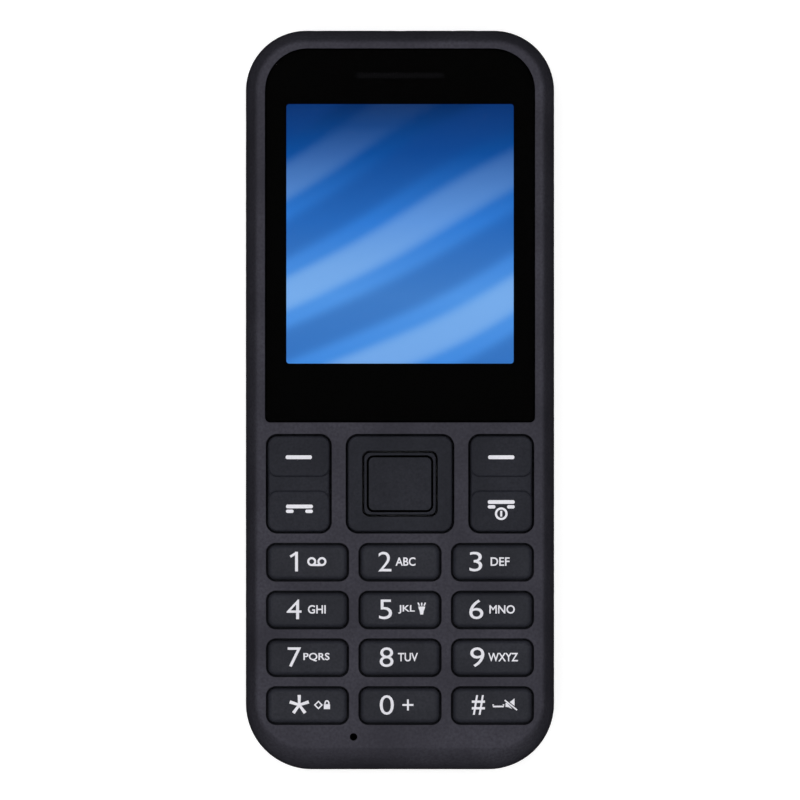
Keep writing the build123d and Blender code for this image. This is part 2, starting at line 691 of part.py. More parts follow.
def navigation_base():
    """Flanged plate under the navigation ring, held below the front plate."""
    low_z = MAT_HIGH_Z
    plate = block(
        PAD_WIDTH - 2 * CLUSTER_GAP,
        CLUSTER_LENGTH - 2 * CLUSTER_GAP,
        low_z,
        low_z + PAD_BASE_DEPTH,
        corner_r=PAD_HOLE_R - CLUSTER_GAP,
    )
    return Pos(0, CLUSTER_Y, 0) * (plate - select_opening(low_z - OVERRUN, low_z + PAD_BASE_DEPTH + OVERRUN))


def navigation_ring():
    """Four-way ring round the select key."""
    low_z = MAT_HIGH_Z + PAD_BASE_DEPTH + PAD_BASE_GAP
    width, length = PAD_WIDTH - 2 * CLUSTER_GAP, CLUSTER_LENGTH - 2 * CLUSTER_GAP
    body = cap(width, length, PAD_HOLE_R - CLUSTER_GAP, low_z, PAD_HIGH_Z, PAD_EDGE_R)
    body += cluster_flange(PAD_WIDTH, PAD_HOLE_R)
    body -= select_opening(low_z - OVERRUN, PAD_HIGH_Z + OVERRUN)
    return Pos(0, CLUSTER_Y, 0) * body


def select_key():
    """Middle key with a fine groove that leaves a narrow rim round its face."""
    width, length = SELECT_WIDTH - 2 * SELECT_GAP, SELECT_LENGTH - 2 * SELECT_GAP
    corner_r = SELECT_R - SELECT_GAP
    body = cap(width, length, corner_r, MAT_HIGH_Z, PAD_HIGH_Z, SELECT_EDGE_R)
    groove_low_z, groove_high_z = PAD_HIGH_Z - SELECT_GROOVE_DEPTH, PAD_HIGH_Z + OVERRUN
    outer, inner = SELECT_RIM, SELECT_RIM + SELECT_GROOVE
    groove_r = SELECT_FACE_R + SELECT_GROOVE
    groove = block(
        width - 2 * outer, length - 2 * outer, groove_low_z, groove_high_z, corner_r=groove_r
    )
    face = block(
        width - 2 * inner, length - 2 * inner, groove_low_z, groove_high_z, corner_r=SELECT_FACE_R
    )
    return Pos(0, CLUSTER_Y, 0) * (body - (groove - face))


def keypad_block(border, low_z, high_z, corner_r):
    """A sheet as large as the whole key field, grown by border."""
    half_width = KEY_PITCH_X + KEY_HOLE_WIDTH / 2 + border
    high_y = CLUSTER_Y + CLUSTER_LENGTH / 2 + border
    low_y = LOW_ROW_Y - KEY_HOLE_LENGTH / 2 - border
    middle_y = (low_y + high_y) / 2
    return block(2 * half_width, high_y - low_y, low_z, high_z, y=middle_y, corner_r=corner_r)


def key_mat():
    """Silicone web under the caps, with a plunger over each dome."""
    mat = keypad_block(MAT_BORDER, MAT_LOW_Z, MAT_HIGH_Z, MAT_CORNER_R)
    plungers = [post(PLUNGER_R, MAT_LOW_Z - PLUNGER_HEIGHT, MAT_HIGH_Z, x, y) for x, y in dome_places()]
    return mat + plungers


def dome_sheet():
    """Film with a shallow snap dome at each contact."""
    film = keypad_block(DOME_FILM_BORDER, BOARD_HIGH_Z, BOARD_HIGH_Z + DOME_FILM, MAT_CORNER_R)
    ball_r = (DOME_R**2 + DOME_HEIGHT**2) / (2 * DOME_HEIGHT)
    ball = Pos(0, 0, DOME_HIGH_Z - ball_r) * Sphere(ball_r)
    dome = ball & post(DOME_R, BOARD_HIGH_Z + DOME_FILM, DOME_HIGH_Z)
    domes = [Pos(x, y, 0) * dome for x, y in dome_places()]
    return film + domes


def main_board():
    """Circuit board cut to the casing, with clearance for the bosses and the headphone jack."""
    board = prism(skin_outline(WIDEST_Z, WALL + BOARD_GAP), BOARD_LOW_Z, BOARD_HIGH_Z)
    low_z, high_z = BOARD_LOW_Z - OVERRUN, BOARD_HIGH_Z + OVERRUN
    cuts = [post(BOSS_R + BOSS_HOLE_GAP, low_z, high_z, x, y) for x, y in SCREW_PLACES]
    cuts.append(jack_space(JACK_GAP))
    return board - cuts


def shield_can(low_y, length):
    """Drawn sheet cover, open towards the board."""
    middle_y = low_y + length / 2
    can = block(
        SHIELD_WIDTH, length, BOARD_HIGH_Z, DISPLAY_LOW_Z, y=middle_y, corner_r=SHIELD_CORNER_R
    )
    hollow = block(
        SHIELD_WIDTH - 2 * SHIELD_SHEET,
        length - 2 * SHIELD_SHEET,
        BOARD_HIGH_Z - OVERRUN,
        DISPLAY_LOW_Z - SHIELD_SHEET,
        y=middle_y,
        corner_r=SHIELD_CORNER_R - SHIELD_SHEET,
    )
    return can - hollow


def holder(width, length, x, y):
    """Card holder: a folded sheet with a mouth along one side and an open middle."""
    plate = block(width, length, BAY_ROOF_Z, BOARD_LOW_Z, x, y, HOLDER_CORNER_R)
    slot = block(
        width - 2 * HOLDER_RIM,
        length,
        BAY_ROOF_Z + HOLDER_SHEET,
        BOARD_LOW_Z - HOLDER_SHEET,
        x,
        y - HOLDER_RIM,
    )
    sight = block(
        width * HOLDER_MOUTH_SHARE,
        length * HOLDER_MOUTH_SHARE,
        BAY_ROOF_Z - OVERRUN,
        BOARD_LOW_Z - HOLDER_SHEET,
        x,
        y - length * (1 - HOLDER_MOUTH_SHARE) / 2,
    )
    return plate - slot - sight


def battery():
    """Flat rectangular cell pack."""
    pack = block(
        BATTERY_WIDTH,
        BATTERY_LENGTH,
        BATTERY_LOW_Z,
        BATTERY_HIGH_Z,
        y=BATTERY_Y,
        corner_r=BATTERY_CORNER_R,
    )
    rims = edges_at(pack, BATTERY_LOW_Z) + edges_at(pack, BATTERY_HIGH_Z)
    return fillet(rims, BATTERY_EDGE_R)


def contact_middle_y():
    return BAY_LOW_Y - BAY_WALL - CONTACT_LENGTH / 2


def battery_contacts():
    """Moulded block on the board with rounded spring blades that reach the battery's end."""
    body = block(
        CONTACT_WIDTH, CONTACT_LENGTH, BOARD_LOW_Z - CONTACT_HEIGHT, BOARD_LOW_Z, y=contact_middle_y()
    )
    tip_y = BATTERY_Y - BATTERY_LENGTH / 2 - CONTACT_GAP / 2
    reach = tip_y - contact_middle_y()
    blade_z = BOARD_LOW_Z - CONTACT_HEIGHT / 2
    blade = block(BLADE_WIDTH, reach, blade_z - BLADE_HEIGHT / 2, blade_z + BLADE_HEIGHT / 2)
    tip_edges = blade.edges().filter_by(Axis.X).group_by(Axis.Y)[-1]
    blade = fillet(tip_edges, BLADE_R)
    for i in range(CONTACT_COUNT):
        x = (i - (CONTACT_COUNT - 1) / 2) * CONTACT_PITCH
        body += Pos(x, tip_y - reach / 2, 0) * blade
    return body


def screw_columns(radius, low_z, high_z):
    return [post(radius, low_z, high_z, x, y) for x, y in SCREW_PLACES]


def chassis():
    """Inner frame: the battery bay from the back, pockets for the parts on the board, and the screw seats."""
    frame = skin(CHASSIS_LOW_Z, BOARD_LOW_Z, CHASSIS_INSET)
    pocket = skin(POCKET_LOW_Z, BOARD_LOW_Z + OVERRUN, CHASSIS_INSET + CHASSIS_WALL)
    for low_y, high_y in ((BAY_HIGH_Y + BAY_WALL, LENGTH), (-LENGTH, BAY_LOW_Y - BAY_WALL)):
        frame -= pocket & band(low_y, high_y)
    columns = screw_columns(BOSS_R + BOSS_HOLE_GAP, CHASSIS_LOW_Z, BOARD_LOW_Z)
    body = skin(CHASSIS_LOW_Z, BOARD_LOW_Z, CHASSIS_INSET)
    for column in columns:
        frame += column & body
    cuts = [block(BAY_WIDTH, BAY_HIGH_Y - BAY_LOW_Y, CHASSIS_LOW_Z - OVERRUN, BAY_ROOF_Z, y=BATTERY_Y)]
    cuts += screw_columns(SCREW_R + SCREW_GAP, CHASSIS_LOW_Z - OVERRUN, BOARD_LOW_Z + OVERRUN)
    cuts += screw_columns(SCREW_HEAD_R + SCREW_GAP, CHASSIS_LOW_Z - OVERRUN, SCREW_SEAT_Z)
    cuts += side_pockets()
    room, low_z, high_z = 2 * HOLDER_GAP, BAY_ROOF_Z - OVERRUN, BOARD_LOW_Z + OVERRUN
    cuts.append(block(SIM_WIDTH + room, SIM_LENGTH + room, low_z, high_z, SIM_X, SIM_Y))
    cuts.append(block(CARD_WIDTH + room, CARD_LENGTH + room, low_z, high_z, CARD_X, CARD_Y))
    cuts.append(
        block(
            CONTACT_WIDTH + 2 * CONTACT_GAP,
            CONTACT_LENGTH + 2 * BAY_WALL,
            BOARD_LOW_Z - CONTACT_HEIGHT - CONTACT_GAP,
            BOARD_LOW_Z + OVERRUN,
            y=contact_middle_y() + BAY_WALL,
        )
    )
    cuts.append(post(CAMERA_HOLE_R, CHASSIS_LOW_Z - OVERRUN, POCKET_LOW_Z + OVERRUN, 0, CAMERA_Y))
    cuts.append(speaker_port(CHASSIS_LOW_Z - OVERRUN, POCKET_LOW_Z + OVERRUN))
    cuts.append(jack_space(JACK_GAP))
    cuts.append(usb_space(USB_GAP))
    cuts.append(torch_space(TORCH_LED_GAP))
    return frame - cuts


def side_pockets():
    """Hollows that keep the bay's long walls thin, clear of the middle screws."""
    x = BAY_WIDTH / 2 + BAY_WALL + SIDE_POCKET_WIDTH / 2
    keep = BOSS_R + BOSS_HOLE_GAP + SIDE_POCKET_WALL
    pockets = []
    for low_y, high_y in ((BAY_LOW_Y, MIDDLE_SCREW[1] - keep), (MIDDLE_SCREW[1] + keep, BAY_HIGH_Y)):
        for side in (-1, 1):
            pockets.append(
                block(
                    SIDE_POCKET_WIDTH,
                    high_y - low_y,
                    POCKET_LOW_Z,
                    BOARD_LOW_Z + OVERRUN,
                    side * x,
                    (low_y + high_y) / 2,
                )
            )
    return pockets


def antenna_plate():
    """Thin stamped plate on the back of the chassis, slotted into a meander."""
    plate = block(
        ANTENNA_WIDTH,
        ANTENNA_LENGTH,
        CHASSIS_LOW_Z - ANTENNA_THICKNESS,
        CHASSIS_LOW_Z,
        ANTENNA_X,
        ANTENNA_Y,
    )
    step = ANTENNA_LENGTH / (ANTENNA_SLOTS + 1)
    for i in range(ANTENNA_SLOTS):
        side = 1 if i % 2 else -1
        plate -= block(
            ANTENNA_WIDTH,
            ANTENNA_SLOT,
            CHASSIS_LOW_Z - OVERRUN,
            CHASSIS_LOW_Z + OVERRUN,
            ANTENNA_X + side * ANTENNA_BRIDGE,
            ANTENNA_Y - ANTENNA_LENGTH / 2 + (i + 1) * step,
        )
    return plate


def housing_screws():
    """Pan-head screws, entered from the back of the chassis into the front shell's bosses."""
    shank = post(SCREW_R, SCREW_SEAT_Z, SCREW_SEAT_Z + SCREW_LENGTH)
    head_low_z = SCREW_SEAT_Z - SCREW_HEAD_HEIGHT
    head = post(SCREW_HEAD_R, head_low_z, SCREW_SEAT_Z)
    socket = post(SCREW_SOCKET_R, head_low_z - OVERRUN, head_low_z + SCREW_SOCKET_DEPTH)
    screw = head + shank - socket
    return Compound([Pos(x, y, 0) * screw for x, y in SCREW_PLACES])


def camera_module():
    """Camera block on the back of the board, its barrel pointing out of the back."""
    low_z = BOARD_LOW_Z - CAMERA_BASE
    base = block(CAMERA_SIDE, CAMERA_SIDE, low_z, BOARD_LOW_Z, y=CAMERA_Y)
    barrel_z = REAR_WALL + CAMERA_CLEARANCE
    barrel = post(CAMERA_BARREL_R, barrel_z, BOARD_LOW_Z, y=CAMERA_Y)
    eye = Cone(
        CAMERA_LENS_R,
        CAMERA_PUPIL_R,
        CAMERA_LENS_DEPTH,
        align=(Align.CENTER, Align.CENTER, Align.MIN),
    )
    return base + barrel - Pos(0, CAMERA_Y, barrel_z) * eye


def camera_window():
    low_z = CAMERA_WINDOW_RECESS
    return post(CAMERA_WINDOW_R, low_z, low_z + CAMERA_WINDOW_DEPTH, y=CAMERA_Y)


def speaker_port(low_z, high_z):
    """The sound opening of the loudspeaker, as large as the grille."""
    span = (GRILLE_SLOTS - 1) * GRILLE_PITCH + GRILLE_SLOT_WIDTH
    return block(
        GRILLE_SLOT_LENGTH + 2 * SOUND_PORT_BORDER,
        span + 2 * SOUND_PORT_BORDER,
        low_z,
        high_z,
        SPEAKER_X,
        SPEAKER_Y,
        GRILLE_SLOT_WIDTH,
    )


def loudspeaker():
    """Flat loudspeaker on the chassis skin, its diaphragm dished towards the grille."""
    high_z = POCKET_LOW_Z + SPEAKER_DEPTH
    body = block(
        SPEAKER_WIDTH, SPEAKER_LENGTH, POCKET_LOW_Z, high_z, SPEAKER_X, SPEAKER_Y, SPEAKER_CORNER_R
    )
    dish = block(
        SPEAKER_WIDTH - 2 * SPEAKER_RIM,
        SPEAKER_LENGTH - 2 * SPEAKER_RIM,
        POCKET_LOW_Z - OVERRUN,
        POCKET_LOW_Z + SPEAKER_DISH,
        SPEAKER_X,
        SPEAKER_Y,
        SPEAKER_CORNER_R - SPEAKER_RIM,
    )
    return body - dish


def vibration_motor():
    """Coin motor on the chassis skin."""
    coin = post(MOTOR_R, POCKET_LOW_Z, POCKET_LOW_Z + MOTOR_DEPTH, MOTOR_X, MOTOR_Y)
    return fillet(edges_at(coin, POCKET_LOW_Z + MOTOR_DEPTH), MOTOR_EDGE_R)


def usb_space(gap):
    """The room the charging socket takes, with a gap round it and out through the edge."""
    low_z, high_z = BOARD_LOW_Z - USB_HEIGHT - gap, BOARD_LOW_Z + OVERRUN
    inner_y = USB_MOUTH_Y + USB_LENGTH + gap
    outer_y = -LENGTH / 2
    return block(USB_WIDTH + 2 * gap, inner_y - outer_y, low_z, high_z, y=(inner_y + outer_y) / 2)


def micro_usb_socket():
    """Sheet-metal receptacle with its contact tongue."""
    shell = extrude(usb_outline(0), USB_LENGTH)
    hollow = extrude(usb_outline(-USB_SHEET), USB_LENGTH - USB_BACK)
    tongue_length = USB_LENGTH - USB_TONGUE_BACKSET
    tongue = Pos(0, -USB_TONGUE_BACKSET - tongue_length / 2, 0) * Box(
        USB_TONGUE_WIDTH, tongue_length, USB_TONGUE_HEIGHT
    )
    socket = shell - hollow + tongue
    return Pos(0, USB_MOUTH_Y, USB_Z) * Rot(0, 0, 180) * socket


def jack_space(gap):
    """The room the headphone jack takes behind the casing wall, with a gap round it."""
    inner_y = JACK_MOUTH_Y - JACK_BORE_LENGTH - JACK_BACK - gap
    outer_y = LENGTH / 2
    low_z = JACK_Z - JACK_BODY_HEIGHT / 2 - gap
    high_z = JACK_Z + JACK_BODY_HEIGHT / 2 + gap
    return block(
        JACK_BODY_WIDTH + 2 * gap, outer_y - inner_y, low_z, high_z, JACK_X, (inner_y + outer_y) / 2
    )


def headphone_jack():
    """Sunk headphone jack: a block on the board and a nose that shows in the casing wall."""
    body_high_y = JACK_MOUTH_Y - JACK_NOSE_LENGTH
    body_low_y = JACK_MOUTH_Y - JACK_BORE_LENGTH - JACK_BACK
    body = block(
        JACK_BODY_WIDTH,
        body_high_y - body_low_y,
        JACK_Z - JACK_BODY_HEIGHT / 2,
        JACK_Z + JACK_BODY_HEIGHT / 2,
        JACK_X,
        (body_low_y + body_high_y) / 2,
    )
    nose = rod(JACK_NOSE_R, body_low_y + JACK_BACK, JACK_MOUTH_Y, JACK_X, JACK_Z)
    bore = rod(JACK_BORE_R, JACK_MOUTH_Y - JACK_BORE_LENGTH, JACK_MOUTH_Y + OVERRUN, JACK_X, JACK_Z)
    return body + nose - bore


def torch_seat_y():
    """Outer face of the torch lens's flange, where its lowest point meets the casing's inner wall."""
    lowest_z = TORCH_Z - TORCH_LENS_R - TORCH_FLANGE
    return LENGTH / 2 - roll(lowest_z, FRONT_ROLL_TOP) - WALL - TORCH_LENS_GAP


def torch_flange_y():
    """Inner face of the torch lens's flange."""
    return torch_seat_y() - TORCH_FLANGE_DEPTH


def torch_space(gap):
    """The room of the torch LED and its lens flange inside the casing wall."""
    inner_y = torch_flange_y() - TORCH_LED_GAP - TORCH_LED_LENGTH - TORCH_LED_DOME_R - gap
    outer_y = LENGTH / 2
    half = TORCH_LENS_R + TORCH_FLANGE + gap
    return block(
        2 * half, outer_y - inner_y, TORCH_Z - half, BOARD_LOW_Z + OVERRUN, y=(inner_y + outer_y) / 2
    )


def torch_lens():
    """Clear plug through the top wall, with a flange inside it."""
    mouth_y = LENGTH / 2 - TORCH_LENS_RECESS
    plug = rod(TORCH_LENS_R, torch_flange_y(), mouth_y, 0, TORCH_Z)
    flange = rod(TORCH_LENS_R + TORCH_FLANGE, torch_flange_y(), torch_seat_y(), 0, TORCH_Z)
    under_board = block(WIDTH, LENGTH, 0, BOARD_LOW_Z, y=LENGTH / 2)
    return (plug + flange) & under_board


def torch_led():
    """Side-firing LED on the back of the board."""
    dome_y = torch_flange_y() - TORCH_LED_GAP - TORCH_LED_DOME_R
    body = block(
        TORCH_LED_WIDTH,
        TORCH_LED_LENGTH,
        BOARD_LOW_Z - TORCH_LED_HEIGHT,
        BOARD_LOW_Z,
        y=dome_y - TORCH_LED_LENGTH / 2,
    )
    return body + Pos(0, dome_y, TORCH_Z) * Sphere(TORCH_LED_DOME_R)


def microphone():
    return block(MIC_WIDTH, MIC_LENGTH, BOARD_HIGH_Z, BOARD_HIGH_Z + MIC_HEIGHT, MIC_X, MIC_Y)


def microphone_boot():
    """Rubber sleeve that leads from the hole in the front plate to the microphone."""
    low_z = BOARD_HIGH_Z + MIC_HEIGHT
    sleeve = post(MIC_BOOT_R, low_z, PLATE_LOW_Z, MIC_X, MIC_Y)
    return sleeve - post(MIC_HOLE_R, low_z - OVERRUN, PLATE_LOW_Z + OVERRUN, MIC_X, MIC_Y)


def rear_cover():
    """Battery cover: a shallow rolled tray with a lip that slides inside the front shell."""
    rim_z = PARTING_Z - PARTING_GAP
    outer = skin(0, rim_z, 0)
    outer = fillet(edges_at(outer, 0), REAR_EDGE_R)
    lip_low_z, lip_high_z = (REAR_WALL + rim_z) / 2, PARTING_Z + LIP_HEIGHT
    clip_high_z = PARTING_Z + CLIP_HEIGHT
    above_lip = block(WIDTH, LENGTH, lip_high_z, clip_high_z + OVERRUN)
    for y in CLIP_PLACES_Y:
        above_lip -= band(y - CLIP_LENGTH / 2, y + CLIP_LENGTH / 2)
    lip = skin(lip_low_z, clip_high_z, WALL + LIP_GAP) - above_lip
    cover = outer + lip - skin(REAR_WALL, clip_high_z + OVERRUN, RIM_INSET)
    cuts = [jack_space(JACK_GAP), usb_space(USB_GAP), torch_space(TORCH_LED_GAP)]
    cuts.append(post(CAMERA_SIGHT_R, -OVERRUN, REAR_WALL + OVERRUN, y=CAMERA_Y))
    recess_z = CAMERA_WINDOW_RECESS + CAMERA_WINDOW_DEPTH
    cuts.append(post(CAMERA_WINDOW_R + CAMERA_WINDOW_GAP, -OVERRUN, recess_z, y=CAMERA_Y))
    for i in range(GRILLE_SLOTS):
        y = SPEAKER_Y + (i - (GRILLE_SLOTS - 1) / 2) * GRILLE_PITCH
        slot = prism(SlotOverall(GRILLE_SLOT_LENGTH, GRILLE_SLOT_WIDTH), -OVERRUN, REAR_WALL + OVERRUN)
        cuts.append(Pos(SPEAKER_X, y, 0) * slot)
    notch_y = -LENGTH / 2 + roll(rim_z, FRONT_ROLL_BOTTOM)
    notch = block(
        PRY_NOTCH_WIDTH,
        2 * PRY_NOTCH_DEPTH,
        rim_z - PRY_NOTCH_HEIGHT,
        PARTING_Z,
        y=notch_y,
        corner_r=PRY_NOTCH_DEPTH / 2,
    )
    cuts.append(notch)
    return cover - cuts


PIECES = {
    "front_cover": front_cover,
    "display_window": display_window,
    "window_tape": window_tape,
    "earpiece_mesh": earpiece_mesh,
    "earpiece_receiver": earpiece_receiver,
    "display_frame": display_frame,
    "display_panel": display_panel,
    "display_flex": display_flex,
    "left_rocker_key": lambda: rocker_key(-1),
    "right_rocker_key": lambda: rocker_key(1),
    "navigation_base": navigation_base,
    "navigation_ring": navigation_ring,
    "select_key": select_key,
    "key_mat": key_mat,
    "dome_sheet": dome_sheet,
    "main_board": main_board,
    "baseband_shield": lambda: shield_can(SHIELD_FOOT_Y, BASEBAND_LENGTH),
    "radio_shield": lambda: shield_can(SHIELD_FOOT_Y + BASEBAND_LENGTH + SHIELD_SPACING, RADIO_LENGTH),
    "sim_holder": lambda: holder(SIM_WIDTH, SIM_LENGTH, SIM_X, SIM_Y),
    "card_holder": lambda: holder(CARD_WIDTH, CARD_LENGTH, CARD_X, CARD_Y),
    "battery": battery,
    "battery_contacts": battery_contacts,
    "chassis": chassis,
    "antenna_plate": antenna_plate,
    "housing_screws": housing_screws,
    "camera_module": camera_module,
    "camera_window": camera_window,
    "loudspeaker": loudspeaker,
    "vibration_motor": vibration_motor,
    "micro_usb_socket": micro_usb_socket,
    "headphone_jack": headphone_jack,
    "torch_lens": torch_lens,
    "torch_led": torch_led,
    "microphone": microphone,
    "microphone_boot": microphone_boot,
    "rear_cover": rear_cover,
}

os.makedirs("parts", exist_ok=True)
for name, make in PIECES.items():
    export_step(make(), f"parts/{name}.step")
for name, x, y in key_places():
    export_step(number_key(x, y), f"parts/{name}.step")
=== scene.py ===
import bpy
import numpy as np
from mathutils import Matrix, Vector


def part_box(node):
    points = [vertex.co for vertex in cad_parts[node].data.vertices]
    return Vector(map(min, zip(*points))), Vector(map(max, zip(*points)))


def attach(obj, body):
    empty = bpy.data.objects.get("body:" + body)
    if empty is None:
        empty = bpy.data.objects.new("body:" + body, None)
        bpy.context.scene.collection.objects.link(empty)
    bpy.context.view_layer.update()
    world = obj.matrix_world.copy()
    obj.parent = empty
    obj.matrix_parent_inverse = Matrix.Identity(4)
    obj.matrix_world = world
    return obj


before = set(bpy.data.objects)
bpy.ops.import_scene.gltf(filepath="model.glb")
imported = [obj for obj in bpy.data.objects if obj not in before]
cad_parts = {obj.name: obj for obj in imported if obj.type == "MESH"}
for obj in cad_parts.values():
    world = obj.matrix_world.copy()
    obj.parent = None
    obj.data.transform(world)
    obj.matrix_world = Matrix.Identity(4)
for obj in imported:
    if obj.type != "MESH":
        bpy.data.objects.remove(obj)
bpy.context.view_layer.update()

# The chassis is the inner frame that carries the circuit board and forms the battery bay.
# It is moulded in black glass-filled nylon, whose fibres leave the surface dull and faintly mottled.
# Six zinc-plated screws clamp it into the front cover.
MM = 0.001


def linear(hex_colour):
    """sRGB hex to linear RGBA: c / 12.92 up to 0.04045, and ((c + 0.055) / 1.055) ** 2.4 above it."""
    srgb = np.array([int(hex_colour[i:i + 2], 16) for i in (1, 3, 5)]) / 255
    rgb = np.where(srgb <= 0.04045, srgb / 12.92, ((srgb + 0.055) / 1.055) ** 2.4)
    return (*rgb.tolist(), 1.0)


def add(tree, kind, inputs=None, **settings):
    """One node with its settings; an input given as a socket is linked, and any other value is set."""
    made = tree.nodes.new(kind)
    for name, value in settings.items():
        setattr(made, name, value)
    for name, value in (inputs or {}).items():
        if isinstance(value, bpy.types.NodeSocket):
            tree.links.new(value, made.inputs[name])
        else:
            made.inputs[name].default_value = value
    return made


def new_material(name):
    """An empty node material with its output, and the piece's Object coordinates."""
    made = bpy.data.materials.new(name)
    made.use_nodes = True
    tree = made.node_tree
    tree.nodes.clear()
    output = add(tree, "ShaderNodeOutputMaterial")
    place = add(tree, "ShaderNodeTexCoord").outputs["Object"]
    return made, tree, output, place


def moulded(
    name, dark, light, grain_mm, relief_mm, roughness, patch_mm=9.0, spread=0.06, specular=0.5
):
    """Moulded plastic: fine grain from the tool's texture, over broad patches where the sheen drifts."""
    made, tree, output, place = new_material(name)
    grain = add(tree, "ShaderNodeTexNoise", {"Vector": place, "Scale": 1 / (grain_mm * MM), "Detail": 3.0})
    patch = add(tree, "ShaderNodeTexNoise", {"Vector": place, "Scale": 1 / (patch_mm * MM), "Detail": 2.0})
    mixed = add(
        tree, "ShaderNodeMath", {0: grain.outputs["Fac"], 1: patch.outputs["Fac"]}, operation="MULTIPLY"
    )
    drift = {"Value": mixed.outputs[0], "From Min": 0.12, "From Max": 0.42}
    shade = add(tree, "ShaderNodeMapRange", drift)
    colour = add(
        tree,
        "ShaderNodeMix",
        {"Factor": shade.outputs[0], 6: linear(dark), 7: linear(light)},
        data_type="RGBA",
    )
    sheen = add(
        tree, "ShaderNodeMapRange", {**drift, "To Min": roughness + spread, "To Max": roughness - spread}
    )
    bump = add(
        tree,
        "ShaderNodeBump",
        {"Height": grain.outputs["Fac"], "Strength": 0.6, "Distance": relief_mm * MM},
    )
    surface = add(
        tree,
        "ShaderNodeBsdfPrincipled",
        {
            "Base Color": colour.outputs[2],
            "Roughness": sheen.outputs[0],
            "Specular IOR Level": specular,
            "Normal": bump.outputs[0],
        },
    )
    tree.links.new(surface.outputs[0], output.inputs["Surface"])
    return made


def metal(name, hex_colour, roughness, grain_mm, along, drawn=12, relief_mm=0.01):
    """Drawn or rolled sheet: noise drawn out along one axis into fine lines, which spread the highlight."""
    made, tree, output, place = new_material(name)
    smoother, rougher = 0.08, 0.12
    stretch = [1 / (grain_mm * MM)] * 3
    stretch[along] /= drawn
    lines = add(tree, "ShaderNodeMapping", {"Vector": place, "Scale": stretch})
    grain = add(tree, "ShaderNodeTexNoise", {"Vector": lines.outputs[0], "Scale": 1.0, "Detail": 2.0})
    sheen = add(
        tree,
        "ShaderNodeMapRange",
        {"Value": grain.outputs["Fac"], "To Min": roughness - smoother, "To Max": roughness + rougher},
    )
    bump = add(
        tree,
        "ShaderNodeBump",
        {"Height": grain.outputs["Fac"], "Strength": 0.25, "Distance": relief_mm * MM},
    )
    surface = add(
        tree,
        "ShaderNodeBsdfPrincipled",
        {
            "Base Color": linear(hex_colour),
            "Metallic": 1.0,
            "Roughness": sheen.outputs[0],
            "Normal": bump.outputs[0],
        },
    )
    tree.links.new(surface.outputs[0], output.inputs["Surface"])
    return made


JOIN_MM, CREASE_DEG = 0.0005, 28


def rounded_shading():
    """Geometry nodes that join loose triangles, and keep an edge sharp where its faces turn past a limit."""
    group = bpy.data.node_groups.new("rounded_shading", "GeometryNodeTree")
    group.interface.new_socket("Geometry", in_out="INPUT", socket_type="NodeSocketGeometry")
    group.interface.new_socket("Geometry", in_out="OUTPUT", socket_type="NodeSocketGeometry")
    start = add(group, "NodeGroupInput")
    joined = add(
        group, "GeometryNodeMergeByDistance", {"Geometry": start.outputs[0], "Distance": JOIN_MM * MM}
    )
    smooth = add(group, "GeometryNodeSetShadeSmooth", {"Geometry": joined.outputs[0], "Shade Smooth": True})
    angle = add(group, "GeometryNodeInputMeshEdgeAngle")
    sharp = add(
        group,
        "FunctionNodeCompare",
        {"A": angle.outputs["Unsigned Angle"], "B": np.radians(CREASE_DEG)},
        operation="GREATER_THAN",
    )
    creased = add(
        group,
        "GeometryNodeSetShadeSmooth",
        {"Geometry": smooth.outputs[0], "Selection": sharp.outputs[0], "Shade Smooth": False},
        domain="EDGE",
    )
    add(group, "NodeGroupOutput", {0: creased.outputs[0]})
    return group


SHADING = rounded_shading()


def dress(made, *names):
    """Give a material to CAD pieces, and shade their rounded edges smooth."""
    for name in names:
        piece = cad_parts[name]
        for slot in piece.material_slots:
            slot.material = made
        piece.modifiers.new("rounded_shading", "NODES").node_group = SHADING


dress(
    moulded("nylon_moulded_black", "#141416", "#232326", grain_mm=0.5, relief_mm=0.02, roughness=0.62),
    "chassis",
)
dress(metal("zinc_plated_steel", "#B9BCC0", roughness=0.34, grain_mm=0.08, along=0), "housing_screws")

# The circuit board is glass-epoxy laminate under green solder resist, whose copper tracks show as
# slightly raised, lighter lines. Its parts have bodies of black epoxy or nickel silver, the antenna is a
# strip of phosphor bronze, and the microphone has a silicone boot and black felt against dust.


def solder_resist():
    """Green lacquer over copper tracks: a fine brick grid lightens the green and lifts it a little."""
    made, tree, output, place = new_material("solder_resist_on_laminate")
    track_mm, relief_mm = 0.9, 0.03
    tracks = add(
        tree,
        "ShaderNodeTexBrick",
        {
            "Vector": place,
            "Color1": linear("#14532F"),
            "Color2": linear("#175A33"),
            "Mortar": linear("#2C7A4C"),
            "Scale": 1 / (track_mm * MM),
            "Mortar Size": 0.12,
            "Mortar Smooth": 0.2,
            "Brick Width": 3.0,
            "Row Height": 1.0,
        },
    )
    bump = add(
        tree,
        "ShaderNodeBump",
        {"Height": tracks.outputs["Fac"], "Strength": 0.4, "Distance": relief_mm * MM},
    )
    surface = add(
        tree,
        "ShaderNodeBsdfPrincipled",
        {"Base Color": tracks.outputs["Color"], "Roughness": 0.32, "Normal": bump.outputs[0]},
    )
    tree.links.new(surface.outputs[0], output.inputs["Surface"])
    return made


